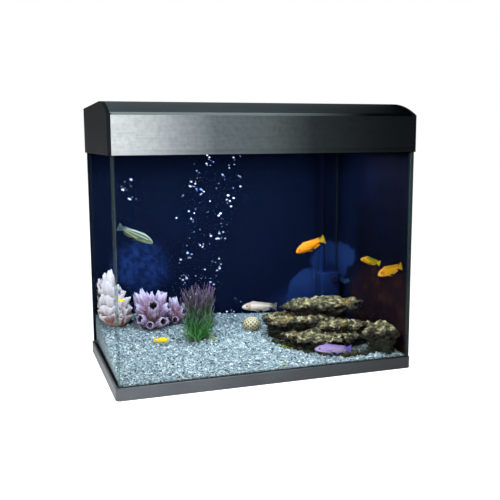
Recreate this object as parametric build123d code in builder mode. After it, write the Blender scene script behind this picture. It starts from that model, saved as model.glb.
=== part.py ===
"""Hooded glass aquarium on a low tray base, modelled in millimetres.

The origin is at the middle of the footprint, on the surface it stands on.
X runs along the long side, the front faces -Y and Z points up.
"""
from build123d import *
from math import cos, pi, radians, sin
import os

os.makedirs("parts", exist_ok=True)

# ---------------------------------------------------------------- driving sizes
# glass tank
tank_width = 612.0
tank_depth = 352.0
wall_glass = 5.0
floor_glass = 6.0
tank_rim = 476.0            # height of the top edge of the walls
joint_gap = 0.5             # silicone film between two panes
bead_leg = 4.0              # inside corner bead
brace_width = 20.0
brace_drop = 3.0            # braces sit this far under the rim

# tray base
rim_wall = 4.0              # plastic outside the glass, for base and hood alike
base_height = 24.0
base_corner = 9.0
base_ledge = 8.0            # height of the ledge that carries the board
ledge_reach = 20.0
board_step = 6.0            # board thickness above the ledge
board_foot_gap = 1.0
mat_thickness = 3.0
fit_gap = 0.5               # loose clearance of dropped-in flat pieces

# backdrop film
film = 0.4
film_lap = 18.0             # how far the film tucks up inside the hood skirt

# gravel bed
gravel_front = 27.0
gravel_back_left = 86.0
gravel_back_right = 42.0
bed_gap = 0.4               # between the gravel and what stands in it
foot_depth = 9.0

# hood shell
hood_bottom = tank_rim - 24.0
fascia_top = tank_rim + 47.0
crown_y = 91.0 - tank_depth / 2
crown_z = tank_rim + 75.0
arc_y = 37.0 - tank_depth / 2
arc_z = tank_rim + 65.0
roof_back_z = tank_rim + 71.0
cheek = 6.0                 # end walls as seen from above
cheek_ledge = 3.0           # inner step of an end wall that carries the roof panels
hood_wall = 3.0
hood_corner = 5.0
skirt_gap = 0.6             # hood skirt to glass
deck = 3.0                  # floor plate of the hood, which lies on the glass rim
fascia = 1.5
panel = 2.5                 # roof panel thickness
panel_gap = 0.6

# feeding lid and its hinge
lid_front_y = 8.0 - tank_depth / 2
lid_lip = 2.5
grip_width = 36.0
grip_reach = 6.0
hinge_y = 4.0
hinge_drop = 4.3            # pin axis under the roof surface
knuckle = 4.0
pin_radius = 1.5
running_gap = 0.05
knuckle_length = 14.0
knuckle_gap = 0.4
hinge_spread = 210.0
bridge_front = 12.0
bridge_back = 44.0

# lighting
reflector_front = -64.0
reflector_back = 8.0
reflector_top = tank_rim + 42.0
sheet = 1.2
flange = 8.0
lamp_cover_thickness = 2.0
tube_radius = 12.7
tube_length = 438.0
cap_length = 10.0
cap_radius = 13.0
lamp_axis_z = tank_rim + 23.0
lamp_pitch = 34.0
holder = 10.0

# filter tray in the hood
tray_left = -278.0
tray_right = 150.0
tray_front = 48.0
tray_back = tank_depth / 2 - 28.0
tray_bottom = tank_rim - 12.0
tray_top = tank_rim + 34.0
tray_wall = 2.0
tray_rim = 6.0
partition_x = -60.0

# circulation pump
pump_x = tank_width / 2 - 44.0
pump_y = tank_depth / 2 - 38.0
pump_bottom = 66.0
pump_width = 52.0
pump_depth = 46.0
pump_height = 90.0
chamber_radius = 15.0
chamber_height = 12.0
cover_thickness = 4.0
duct_offset = 16.0
riser_radius = 8.0
riser_wall = 1.5
socket_gap = 0.1
riser_top = tank_rim - 10.0
spray_z = tank_rim + 50.0
spray_radius = 7.0
cup_radius = 10.0

# ---------------------------------------------------------------- worked-out places
hood_width = tank_width + 2 * rim_wall
hood_depth = tank_depth + 2 * rim_wall
half_w = hood_width / 2
half_d = hood_depth / 2
inner_w = tank_width - 2 * wall_glass
inner_d = tank_depth - 2 * wall_glass
mat_bottom = base_ledge + board_step
glass_bottom = mat_bottom + mat_thickness
floor_top = glass_bottom + floor_glass
deck_top = tank_rim + deck
film_top = hood_bottom + film_lap
bead_cut = bead_leg + bed_gap
bottom_align = (Align.CENTER, Align.CENTER, Align.MIN)
top_align = (Align.CENTER, Align.CENTER, Align.MAX)
side_plane = Plane.YZ       # sketches in it are drawn in Y and Z, and extruded along X


def finish(piece, name):
    """Label a finished sub-part and write it to its own STEP file."""
    piece.part.label = name
    export_step(piece.part, f"parts/{name}.step")


def block(x, y, z):
    """A plain block between two corners, each axis given as (low, high)."""
    with BuildPart() as piece:
        with BuildSketch(Plane.XY.offset(z[0])):
            with Locations(((x[0] + x[1]) / 2, (y[0] + y[1]) / 2)):
                Rectangle(x[1] - x[0], y[1] - y[0])
        extrude(amount=z[1] - z[0])
    return piece


# ---------------------------------------------------------------- tray base
with BuildPart() as base_frame:
    with BuildSketch():
        RectangleRounded(hood_width, hood_depth, base_corner)
    extrude(amount=base_height)
    chamfer(base_frame.faces().sort_by(Axis.Z)[-1].edges(), 1.2)
    with BuildSketch(Plane.XY.offset(base_ledge)):
        Rectangle(tank_width, tank_depth)
    extrude(amount=base_height - base_ledge, mode=Mode.SUBTRACT)
    with BuildSketch():
        Rectangle(tank_width - 2 * ledge_reach, tank_depth - 2 * ledge_reach)
    extrude(amount=base_ledge, mode=Mode.SUBTRACT)
finish(base_frame, "base_frame")

with BuildPart() as base_board:
    with BuildSketch(Plane.XY.offset(board_foot_gap)):
        Rectangle(tank_width - 2 * ledge_reach - 2 * fit_gap, tank_depth - 2 * ledge_reach - 2 * fit_gap)
    extrude(amount=base_ledge - board_foot_gap)
    with BuildSketch(Plane.XY.offset(base_ledge)):
        Rectangle(tank_width - 2 * fit_gap, tank_depth - 2 * fit_gap)
    extrude(amount=board_step)
finish(base_board, "base_board")

with BuildPart() as foam_mat:
    with BuildSketch(Plane.XY.offset(mat_bottom)):
        Rectangle(tank_width - 2 * fit_gap, tank_depth - 2 * fit_gap)
    extrude(amount=mat_thickness)
finish(foam_mat, "foam_mat")

# ---------------------------------------------------------------- glass tank
half_glass = tank_width / 2
half_glass_d = tank_depth / 2
pane_end = inner_w / 2 - joint_gap
wall_z = (glass_bottom, tank_rim)

glass_floor = block((-pane_end, pane_end), (-inner_d / 2 + joint_gap, inner_d / 2 - joint_gap),
                    (glass_bottom, floor_top))
finish(glass_floor, "glass_floor")
glass_front = block((-pane_end, pane_end), (-half_glass_d, -half_glass_d + wall_glass), wall_z)
finish(glass_front, "glass_front")
glass_rear = block((-pane_end, pane_end), (half_glass_d - wall_glass, half_glass_d), wall_z)
finish(glass_rear, "glass_rear")
glass_left = block((-half_glass, -half_glass + wall_glass), (-half_glass_d, half_glass_d), wall_z)
finish(glass_left, "glass_left")
glass_right = block((half_glass - wall_glass, half_glass), (-half_glass_d, half_glass_d), wall_z)
finish(glass_right, "glass_right")

with BuildPart() as silicone_beads:
    with BuildSketch(Plane.XY.offset(floor_top)):
        Rectangle(inner_w, inner_d)
    extrude(amount=bead_leg)
    with BuildSketch(Plane.XY.offset(floor_top)):
        Rectangle(inner_w - 2 * bead_leg, inner_d - 2 * bead_leg)
    extrude(amount=bead_leg, taper=-45, mode=Mode.SUBTRACT)
    with BuildSketch(Plane.XY.offset(floor_top)):
        with BuildLine():
            Line((-inner_w / 2, -inner_d / 2), (-inner_w / 2 + bead_leg, -inner_d / 2))
            RadiusArc((-inner_w / 2 + bead_leg, -inner_d / 2), (-inner_w / 2, -inner_d / 2 + bead_leg),
                      -1.6 * bead_leg)
            Line((-inner_w / 2, -inner_d / 2 + bead_leg), (-inner_w / 2, -inner_d / 2))
        make_face()
    extrude(amount=tank_rim - brace_drop - wall_glass - floor_top)
    mirror(about=Plane.YZ)
    mirror(about=Plane.XZ)
finish(silicone_beads, "silicone_beads")

brace_y = inner_d / 2 - joint_gap - brace_width / 2
with BuildPart() as glass_braces:
    with BuildSketch(Plane.XY.offset(tank_rim - brace_drop - wall_glass)):
        with Locations((0, -brace_y), (0, brace_y)):
            Rectangle(2 * pane_end, brace_width)
    extrude(amount=wall_glass)
finish(glass_braces, "glass_braces")

# ---------------------------------------------------------------- printed backdrop film
backdrop_rear = block((-half_glass, half_glass), (half_glass_d, half_glass_d + film),
                      (base_height + fit_gap, film_top))
finish(backdrop_rear, "backdrop_rear")
backdrop_side = block((half_glass, half_glass + film), (-half_glass_d, half_glass_d),
                      (base_height + fit_gap, film_top))
finish(backdrop_side, "backdrop_side")


# ---------------------------------------------------------------- planting and rock work
def bed_z(x, y):
    """Height of the sloping gravel surface, which rises to the back and to the left."""
    across = (x + inner_w / 2) / inner_w
    back = gravel_back_left + (gravel_back_right - gravel_back_left) * across
    return gravel_front + (back - gravel_front) * (y + inner_d / 2) / inner_d


def foot_z(x, y):
    """Height of the flat foot of an ornament bedded in the gravel."""
    return bed_z(x, y) - foot_depth


# each bedded ornament stands at (x, y) on a round foot
coral_place = (-263.0, 118.0)
coral_foot = 24.0
barnacle_place = (-186.0, 92.0)
barnacle_foot = 26.0
barnacle_small_place = (-128.0, 112.0)
barnacle_small_foot = 17.0
plant_place = (-104.0, 4.0)
plant_foot = 13.0
urchin_place = (34.0, 52.0)
urchin_foot = 11.0
stone_place = (-44.0, 96.0)
stone_foot = 11.0
bedded = [(coral_place, coral_foot), (barnacle_place, barnacle_foot),
          (barnacle_small_place, barnacle_small_foot), (plant_place, plant_foot),
          (urchin_place, urchin_foot), (stone_place, stone_foot)]

# rock work: (x, y, half length, half width, turn in degrees, phase of its outline)
foundation = (157.0, -36.0, 96.0, 68.0, -22.0, 0.4)
left_ledge = (116.0, 6.0, 80.0, 44.0, -6.0, 1.9)
right_ledge = (208.0, -70.0, 50.0, 28.0, -14.0, 3.1)
rock_cap_place = (176.0, 8.0, 74.0, 36.0, -8.0, 4.2)
side_rock_place = (265.0, -134.0, 32.0, 29.0, 0.0, 5.3)
foundation_top = 60.0
ledge_top = 86.0
right_ledge_top = 76.0
cap_top = 116.0
side_rock_top = 86.0
rock_sides = 12


def rock_points(place, scale, grow=0.0):
    """Corners of an uneven oval rock outline."""
    points = []
    for step in range(rock_sides):
        angle = 2 * pi * step / rock_sides
        reach = scale * (1 + 0.09 * sin(3 * angle + place[5]) + 0.05 * sin(5 * angle + 2 * place[5]))
        points.append(((place[2] * reach + grow) * cos(angle), (place[3] * reach + grow) * sin(angle)))
    return points


def rock_plane(place, height):
    """Level plane through a rock, turned to the rock's own length."""
    turn = radians(place[4])
    return Plane(origin=(place[0], place[1], height), x_dir=(cos(turn), sin(turn), 0), z_dir=(0, 0, 1))


def rock(place, bottom, top, foot_scale=0.86):
    """A weathered slab that overhangs its own foot."""
    with BuildPart() as piece:
        with BuildSketch(rock_plane(place, bottom)):
            Polygon(*rock_points(place, foot_scale), align=None)
        with BuildSketch(rock_plane(place, bottom + 0.6 * (top - bottom))):
            Polygon(*rock_points(place, 1.0), align=None)
        with BuildSketch(rock_plane(place, top)):
            Polygon(*rock_points(place, 0.9), align=None)
        loft(ruled=True)
    return piece


with BuildPart() as gravel_bed:
    with BuildSketch(side_plane.offset(-inner_w / 2 + bed_gap)):
        Polygon((-inner_d / 2 + bed_gap, floor_top), (inner_d / 2 - bed_gap, floor_top),
                (inner_d / 2 - bed_gap, gravel_back_left), (-inner_d / 2 + bed_gap, gravel_front), align=None)
    with BuildSketch(side_plane.offset(inner_w / 2 - bed_gap)):
        Polygon((-inner_d / 2 + bed_gap, floor_top), (inner_d / 2 - bed_gap, floor_top),
                (inner_d / 2 - bed_gap, gravel_back_right), (-inner_d / 2 + bed_gap, gravel_front), align=None)
    loft(ruled=True)
    chamfer(gravel_bed.edges().filter_by(Axis.Z), bead_cut)
    with BuildSketch(Plane.XY.offset(floor_top)):
        Rectangle(inner_w, inner_d)
        Rectangle(inner_w - 2 * bead_cut, inner_d - 2 * bead_cut, mode=Mode.SUBTRACT)
    extrude(amount=bead_cut - bed_gap / 2, mode=Mode.SUBTRACT)
    for (x, y), foot in bedded:
        with BuildSketch(Plane.XY.offset(foot_z(x, y))):
            with Locations((x, y)):
                Circle(foot + bed_gap)
        extrude(amount=tank_rim, mode=Mode.SUBTRACT)
    for place in (foundation, side_rock_place):
        with BuildSketch(rock_plane(place, floor_top)):
            Polygon(*rock_points(place, 1.0, grow=bed_gap), align=None)
        extrude(amount=tank_rim, mode=Mode.SUBTRACT)
finish(gravel_bed, "gravel_bed")

rock_foundation = rock(foundation, floor_top, foundation_top)
finish(rock_foundation, "rock_foundation")
rock_left_ledge = rock(left_ledge, foundation_top, ledge_top)
finish(rock_left_ledge, "rock_left_ledge")
rock_right_ledge = rock(right_ledge, foundation_top, right_ledge_top)
finish(rock_right_ledge, "rock_right_ledge")
rock_cap = rock(rock_cap_place, ledge_top, cap_top)
finish(rock_cap, "rock_cap")
side_rock = rock(side_rock_place, floor_top, side_rock_top)
finish(side_rock, "side_rock")


def ornament(place, foot, rings):
    """A rounded ornament on its bedded foot.

    Each ring is (height above the gravel, half length along X, half width along Y).
    """
    x, y = place
    base = foot_z(x, y)
    with BuildPart() as piece:
        with BuildSketch(Plane.XY.offset(base)):
            with Locations((x, y)):
                Circle(foot)
        extrude(amount=2 * foot_depth)
        for height, half_length, half_width in rings:
            with BuildSketch(Plane.XY.offset(base + foot_depth + height)):
                with Locations((x, y)):
                    Ellipse(half_length, half_width)
        loft(ruled=True)
    return piece


white_coral = ornament(coral_place, coral_foot, [(7, 26, 26), (30, 37, 40), (84, 37, 36), (122, 20, 18)])
finish(white_coral, "white_coral")
barnacle_cluster = ornament(barnacle_place, barnacle_foot, [(7, 27, 27), (36, 38, 32), (70, 36, 28), (90, 22, 16)])
finish(barnacle_cluster, "barnacle_cluster")
barnacle_cluster_small = ornament(barnacle_small_place, barnacle_small_foot,
                                  [(7, 18, 18), (34, 22, 20), (60, 16, 14)])
finish(barnacle_cluster_small, "barnacle_cluster_small")
grass_plant = ornament(plant_place, plant_foot, [(7, 15, 15), (50, 34, 30), (105, 38, 30), (132, 24, 18)])
finish(grass_plant, "grass_plant")
urchin_shell = ornament(urchin_place, urchin_foot, [(3, 15, 15), (16, 20, 20), (28, 15, 15), (33, 6, 6)])
finish(urchin_shell, "urchin_shell")

with BuildPart() as air_stone:
    x, y = stone_place
    with Locations((x, y, foot_z(x, y))):
        Cylinder(stone_foot, foot_depth + 12, align=bottom_align)
    fillet(air_stone.edges().group_by(Axis.Z)[-1], 2.5)
    with Locations((x, y, foot_z(x, y) + foot_depth + 12)):
        Cylinder(2.6, 12, align=bottom_align)
        Cylinder(1.2, 10, align=top_align, mode=Mode.SUBTRACT)
finish(air_stone, "air_stone")

# ---------------------------------------------------------------- fish
# name: nose, tail end, body height, body width
fish_places = {
    "fish_striped": ((-192.0, 30.0, 264.0), (-266.0, 30.0, 302.0), 17.0, 10.0),
    "fish_orange": ((113.0, -20.0, 235.0), (182.0, -20.0, 261.0), 21.0, 11.0),
    "fish_yellow_small": ((249.0, -62.0, 219.0), (295.0, -68.0, 206.0), 14.0, 8.0),
    "fish_yellow": ((238.0, -161.0, 201.0), (295.0, -161.0, 216.0), 20.0, 10.0),
    "fish_white": ((19.0, 74.0, 100.0), (105.0, 74.0, 94.0), 20.0, 11.0),
    "fish_lilac": ((104.0, -146.0, 52.0), (186.0, -150.0, 45.0), 17.0, 9.0),
    "fish_fry": ((-172.0, -14.0, 62.0), (-205.0, -14.0, 65.0), 10.0, 6.0),
}


def fish(nose, tail, height, width):
    """A swimming fish: a lofted body with a tail fin and a back fin."""
    axis = Vector(*tail) - Vector(*nose)
    length = axis.length
    across = axis.cross(Vector(0, 0, 1)).normalized()
    upright = across.cross(axis).normalized()
    stations = [(0.03, 0.25), (0.16, 0.72), (0.38, 1.0), (0.62, 0.72), (0.8, 0.3)]
    profile_plane = Plane(origin=nose, x_dir=axis.normalized(), z_dir=across)
    flip = 1 if profile_plane.y_dir.dot(upright) > 0 else -1
    with BuildPart() as piece:
        for share, scale in stations:
            origin = Vector(*nose) + axis * share
            with BuildSketch(Plane(origin=origin, x_dir=across, z_dir=axis.normalized())):
                Ellipse(width / 2 * scale, height / 2 * scale)
        loft()
        with BuildSketch(profile_plane):
            Polygon((0.74 * length, 0), (length, 0.42 * height), (0.93 * length, 0),
                    (length, -0.42 * height), align=None)
            Polygon((0.3 * length, flip * 0.38 * height), (0.42 * length, flip * 0.66 * height),
                    (0.72 * length, flip * 0.42 * height), (0.78 * length, flip * 0.1 * height), align=None)
        extrude(amount=0.08 * width, both=True)
    return piece


for fish_name, (nose, tail, height, width) in fish_places.items():
    swimmer = fish(nose, tail, height, width)
    finish(swimmer, fish_name)

# ---------------------------------------------------------------- circulation pump
duct_x = pump_x - duct_offset
pump_top = pump_bottom + pump_height
chamber_bottom = pump_bottom + cover_thickness
chamber_top = chamber_bottom + chamber_height
magnet_radius = 8.0
magnet_length = 28.0
well_gap = 0.5
shaft_radius = 1.5
shaft_seat = 4.0
magnet_bottom = chamber_top + well_gap
well_top = magnet_bottom + magnet_length + well_gap
riser_seat = pump_top - 10
pump_front = pump_y - pump_depth / 2
dial_x = pump_x + 6
dial_z = pump_top - 14
dial_stem = 3.0
dial_radius = 9.0
dial_depth = 7.5
dial_bore = 9.0
dial_gap = 0.3
cover_radius = chamber_radius + 2

with BuildPart() as pump_body:
    with BuildSketch(Plane.XY.offset(pump_bottom)):
        with Locations((pump_x, pump_y)):
            RectangleRounded(pump_width, pump_depth, 8)
    extrude(amount=pump_height)
    fillet(pump_body.edges().group_by(Axis.Z)[-1], 3)
    with Locations((pump_x, pump_y, pump_bottom)):
        Cylinder(cover_radius, cover_thickness, align=bottom_align, mode=Mode.SUBTRACT)
    with Locations((pump_x, pump_y, chamber_bottom)):
        Cylinder(chamber_radius, chamber_height, align=bottom_align, mode=Mode.SUBTRACT)
    with Locations((pump_x, pump_y, chamber_top)):
        Cylinder(magnet_radius + well_gap, well_top - chamber_top, align=bottom_align, mode=Mode.SUBTRACT)
    with Locations((pump_x, pump_y, well_top)):
        Cylinder(shaft_radius + running_gap, shaft_seat, align=bottom_align, mode=Mode.SUBTRACT)
    with Locations((duct_x, pump_y, chamber_bottom + 1)):
        Cylinder(riser_radius - riser_wall, pump_height, align=bottom_align, mode=Mode.SUBTRACT)
    with Locations((duct_x, pump_y, riser_seat)):
        Cylinder(riser_radius + running_gap, pump_height, align=bottom_align, mode=Mode.SUBTRACT)
    with BuildSketch(Plane.XZ.offset(-pump_front)):
        with Locations((dial_x, dial_z)):
            Circle(dial_stem + running_gap)
    extrude(amount=-dial_bore, mode=Mode.SUBTRACT)
finish(pump_body, "pump_body")

with BuildPart() as pump_cover:
    with Locations((pump_x, pump_y, pump_bottom)):
        Cylinder(cover_radius - running_gap, cover_thickness, align=bottom_align)
        with PolarLocations(9.5, 3):
            Cylinder(3.5, 3 * cover_thickness, mode=Mode.SUBTRACT)
    with Locations((pump_x, pump_y, chamber_bottom)):
        Cylinder(shaft_radius + running_gap, cover_thickness / 2, align=top_align, mode=Mode.SUBTRACT)
finish(pump_cover, "pump_cover")

with BuildPart() as pump_shaft:
    with Locations((pump_x, pump_y, chamber_bottom - cover_thickness / 2)):
        Cylinder(shaft_radius, well_top + shaft_seat - 0.5 - chamber_bottom + cover_thickness / 2,
                 align=bottom_align)
finish(pump_shaft, "pump_shaft")

blade_count = 6
blade_radius = 13.0
with BuildPart() as impeller:
    with Locations((pump_x, pump_y, chamber_bottom + well_gap)):
        Cylinder(5, magnet_bottom - chamber_bottom, align=bottom_align)
        with PolarLocations(blade_radius / 2, blade_count):
            Box(blade_radius, 1.6, chamber_height - 2.5, align=bottom_align)
    with Locations((pump_x, pump_y, magnet_bottom)):
        Cylinder(magnet_radius, magnet_length, align=bottom_align)
    with Locations((pump_x, pump_y, chamber_bottom)):
        Cylinder(shaft_radius + running_gap, pump_height, align=bottom_align, mode=Mode.SUBTRACT)
finish(impeller, "impeller")

strainer_height = 18.0
with BuildPart() as intake_strainer:
    with BuildSketch(Plane.XY.offset(pump_bottom)):
        with Locations((pump_x, pump_y)):
            RectangleRounded(pump_width - 6, pump_depth - 6, 8)
    extrude(amount=-strainer_height)
    fillet(intake_strainer.edges().group_by(Axis.Z)[0], 3)
    with BuildSketch(Plane.XY.offset(pump_bottom)):
        with Locations((pump_x, pump_y)):
            RectangleRounded(pump_width - 10, pump_depth - 10, 6)
    extrude(amount=2 - strainer_height, mode=Mode.SUBTRACT)
    with Locations((pump_x, pump_y, pump_bottom - strainer_height / 2)):
        with GridLocations(5, 0, 6, 1):
            Box(2, 2 * pump_depth, strainer_height - 8, mode=Mode.SUBTRACT)
        with GridLocations(0, 5, 1, 5):
            Box(2 * pump_width, 2, strainer_height - 8, mode=Mode.SUBTRACT)
finish(intake_strainer, "intake_strainer")

with BuildPart() as suction_cups:
    cup_depth = inner_d / 2 - pump_y - pump_depth / 2
    for cup_x in (pump_x - 13, pump_x + 13):
        for cup_z in (pump_bottom + 20, pump_top - 20):
            with BuildSketch(Plane(origin=(cup_x, inner_d / 2, cup_z), x_dir=(1, 0, 0), z_dir=(0, 0, 1))):
                Polygon((0, 0), (cup_radius, 0), (cup_radius, -1.2), (0.4 * cup_radius, -0.5 * cup_depth),
                        (0.4 * cup_radius, -cup_depth), (0, -cup_depth), align=None)
            revolve(axis=Axis((cup_x, inner_d / 2, cup_z), (0, 1, 0)))
finish(suction_cups, "suction_cups")

with BuildPart() as flow_dial:
    with BuildSketch(Plane.XZ.offset(dial_gap - pump_front)):
        with Locations((dial_x, dial_z)):
            Circle(dial_radius)
    extrude(amount=dial_depth)
    fillet(flow_dial.edges().group_by(Axis.Y)[0], 1.5)
    with BuildSketch(Plane.XZ.offset(dial_gap + dial_depth - pump_front)):
        with Locations((dial_x, dial_z + 0.5 * dial_radius)):
            Rectangle(1.6, 0.8 * dial_radius)
    extrude(amount=-1, mode=Mode.SUBTRACT)
    with BuildSketch(Plane.XZ.offset(dial_gap - pump_front)):
        with Locations((dial_x, dial_z)):
            Circle(dial_stem)
    extrude(amount=-(dial_bore - 0.5))
finish(flow_dial, "flow_dial")

with BuildPart() as riser_pipe:
    with Locations((duct_x, pump_y, riser_seat)):
        Cylinder(riser_radius, riser_top - riser_seat, align=bottom_align)
        Cylinder(riser_radius - riser_wall, riser_top - riser_seat, align=bottom_align, mode=Mode.SUBTRACT)
finish(riser_pipe, "riser_pipe")

# ---------------------------------------------------------------- hood shell
roof_fall = (roof_back_z - crown_z) / (half_d - crown_y)


def roof_z(y):
    """Height of the roof surface behind its crown."""
    return crown_z + roof_fall * (y - crown_y)


def roof_outline(top_drop, bottom_z=None, bottom_drop=None):
    """Closed side outline under the roof surface, lowered by top_drop.

    It ends at the level bottom_z, or follows the roof again, lowered by bottom_drop.
    """
    with BuildLine(mode=Mode.PRIVATE) as outline:
        ThreePointArc((-half_d, fascia_top - top_drop), (arc_y, arc_z - top_drop), (crown_y, crown_z - top_drop))
        Line((crown_y, crown_z - top_drop), (half_d, roof_back_z - top_drop))
        if bottom_drop is None:
            Polyline((half_d, roof_back_z - top_drop), (half_d, bottom_z), (-half_d, bottom_z),
                     (-half_d, fascia_top - top_drop))
        else:
            Line((half_d, roof_back_z - top_drop), (half_d, roof_back_z - bottom_drop))
            Line((half_d, roof_back_z - bottom_drop), (crown_y, crown_z - bottom_drop))
            ThreePointArc((crown_y, crown_z - bottom_drop), (arc_y, arc_z - bottom_drop),
                          (-half_d, fascia_top - bottom_drop))
            Line((-half_d, fascia_top - bottom_drop), (-half_d, fascia_top - top_drop))
    return outline.line


hinge_z = roof_z(hinge_y) - hinge_drop
under_panel = panel + 0.3           # roof panels ride this far below the roof surface
cheek_inner = half_w - cheek
cavity_half = cheek_inner - cheek_ledge
front_wall_y = -half_d + fascia + 0.1
front_wall_inner = front_wall_y + hood_wall
back_wall_inner = half_d - hood_wall
feed_front = 18.0 - tank_depth / 2
feed_back = 6.0
opening_half = cavity_half - 17
knuckle_span = 3 * knuckle_length + 2 * knuckle_gap
hinge_stations = (-hinge_spread, 0, hinge_spread)
elbow_outer = riser_radius + socket_gap + 2
elbow_hole = elbow_outer + 0.6
switch_x = 196.0
switch_z = tank_rim + 30.0
switch_width = 30.0
switch_height = 20.0
gland_x = (118.0, 150.0)
gland_z = tank_rim + 24.0
gland_radius = 7.0
gland_bore = 3.6
bridge_skin = 3.0
bridge_skirt = 14.0

with BuildPart() as hood_frame:
    with BuildSketch(side_plane.offset(-half_w)):
        add(roof_outline(0, bottom_z=hood_bottom))
        make_face()
    extrude(amount=hood_width)
    fillet(hood_frame.edges().filter_by(Axis.Z), hood_corner)
    # pocket for the glass
    with BuildSketch(Plane.XY.offset(hood_bottom)):
        Rectangle(tank_width + 2 * skirt_gap, tank_depth + 2 * skirt_gap)
    extrude(amount=tank_rim - hood_bottom, mode=Mode.SUBTRACT)
    # recess for the front fascia
    with BuildSketch(Plane.XY.offset(hood_bottom)):
        with Locations((0, -half_d)):
            Rectangle(2 * cheek_inner, 2 * (front_wall_y + half_d))
    extrude(amount=fascia_top - hood_bottom + 1, mode=Mode.SUBTRACT)
    # room for the roof panels, down to the ledges of the end walls
    with BuildSketch(side_plane.offset(-cheek_inner)):
        add(roof_outline(-crown_z, bottom_drop=under_panel))
        make_face()
        with Locations(((front_wall_y + 9 + bridge_front) / 2, crown_z)):
            Rectangle(bridge_front - front_wall_y - 9, 2 * crown_z, mode=Mode.INTERSECT)
    extrude(amount=2 * cheek_inner, mode=Mode.SUBTRACT)
    with BuildSketch(side_plane.offset(-cheek_inner)):
        add(roof_outline(-crown_z, bottom_drop=under_panel))
        make_face()
        with Locations(((back_wall_inner + bridge_back) / 2, crown_z)):
            Rectangle(back_wall_inner - bridge_back, 2 * crown_z, mode=Mode.INTERSECT)
    extrude(amount=2 * cheek_inner, mode=Mode.SUBTRACT)
    # front sill in front of the lid
    with BuildSketch(side_plane.offset(-cheek_inner)):
        Polygon((-half_d - 1, fascia_top - 1), (lid_front_y + 4, fascia_top - 1), (lid_front_y + 4, 2 * crown_z),
                (-half_d - 1, 2 * crown_z), align=None)
    extrude(amount=2 * cheek_inner, mode=Mode.SUBTRACT)
    # inside of the hood, in front of the bridge, under it and behind it
    with BuildSketch(Plane.XY.offset(deck_top)):
        with Locations((0, (front_wall_inner + back_wall_inner) / 2)):
            Rectangle(2 * cavity_half, back_wall_inner - front_wall_inner)
    extrude(amount=fascia_top - 4 - deck_top, mode=Mode.SUBTRACT)
    for low_y, high_y in ((lid_front_y + 2, bridge_front), (bridge_back, back_wall_inner)):
        with BuildSketch(Plane.XY.offset(deck_top)):
            with Locations((0, (low_y + high_y) / 2)):
                Rectangle(2 * cavity_half, high_y - low_y)
        extrude(amount=crown_z, mode=Mode.SUBTRACT)
    with BuildSketch(side_plane.offset(-cavity_half)):
        add(roof_outline(bridge_skin, bottom_z=deck_top))
        make_face()
        with Locations(((bridge_front + bridge_back) / 2, crown_z)):
            Rectangle(bridge_back - bridge_front - 2 * bridge_skin, 2 * crown_z, mode=Mode.INTERSECT)
    extrude(amount=2 * cavity_half, mode=Mode.SUBTRACT)
    with BuildSketch(Plane.XY.offset(deck_top)):
        with Locations((0, (bridge_front + bridge_back) / 2)):
            Rectangle(2 * cavity_half, bridge_back - bridge_front + 2)
    extrude(amount=hinge_z - bridge_skirt - deck_top, mode=Mode.SUBTRACT)
    # openings in the deck: feeding and light at the front, filter tray and riser at the back
    with BuildSketch(Plane.XY.offset(tank_rim)):
        with Locations((0, (feed_front + feed_back) / 2)):
            Rectangle(2 * opening_half, feed_back - feed_front)
        with Locations(((tray_left + tray_right) / 2, (tray_front + tray_back) / 2)):
            Rectangle(tray_right - tray_left + 2 * fit_gap, tray_back - tray_front + 2 * fit_gap)
        with Locations((duct_x, pump_y)):
            Circle(elbow_hole)
    extrude(amount=deck, mode=Mode.SUBTRACT)
    # switch and cable gland cut-outs in the back wall
    with BuildSketch(Plane.XZ.offset(-half_d)):
        with Locations((switch_x, switch_z)):
            Rectangle(switch_width + 0.4, switch_height + 0.4)
        for x in gland_x:
            with Locations((x, gland_z)):
                Circle(gland_radius)
    extrude(amount=2 * hood_wall, mode=Mode.SUBTRACT)
    # hinge knuckles on the front edge of the bridge
    for station in hinge_stations:
        with BuildSketch(side_plane.offset(station - knuckle_length / 2)):
            with Locations((hinge_y, hinge_z)):
                Circle(knuckle)
            Polygon((hinge_y, hinge_z - knuckle), (bridge_front + bridge_skin, hinge_z - knuckle),
                    (bridge_front + bridge_skin, hinge_z), (hinge_y, hinge_z), align=None)
            with Locations((hinge_y, hinge_z)):
                Circle(pin_radius + running_gap, mode=Mode.SUBTRACT)
        extrude(amount=knuckle_length)
finish(hood_frame, "hood_frame")

lip_height = 9.0
with BuildPart() as hood_fascia:
    with BuildSketch(side_plane.offset(-cheek_inner + 0.3)):
        Polygon((front_wall_y, hood_bottom + 0.3), (-half_d, hood_bottom + 0.3), (-half_d, hood_bottom + 5),
                (-half_d + 0.6, hood_bottom + lip_height), (-half_d + 0.6, fascia_top - 0.8),
                (-half_d + 1.0, fascia_top), (front_wall_y, fascia_top), align=None)
    extrude(amount=2 * cheek_inner - 0.6)
finish(hood_fascia, "hood_fascia")

with BuildPart() as lid_hinge_pins:
    for station in hinge_stations:
        with BuildSketch(side_plane.offset(station - knuckle_span / 2)):
            with Locations((hinge_y, hinge_z)):
                Circle(pin_radius)
        extrude(amount=knuckle_span)
finish(lid_hinge_pins, "lid_hinge_pins")

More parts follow.
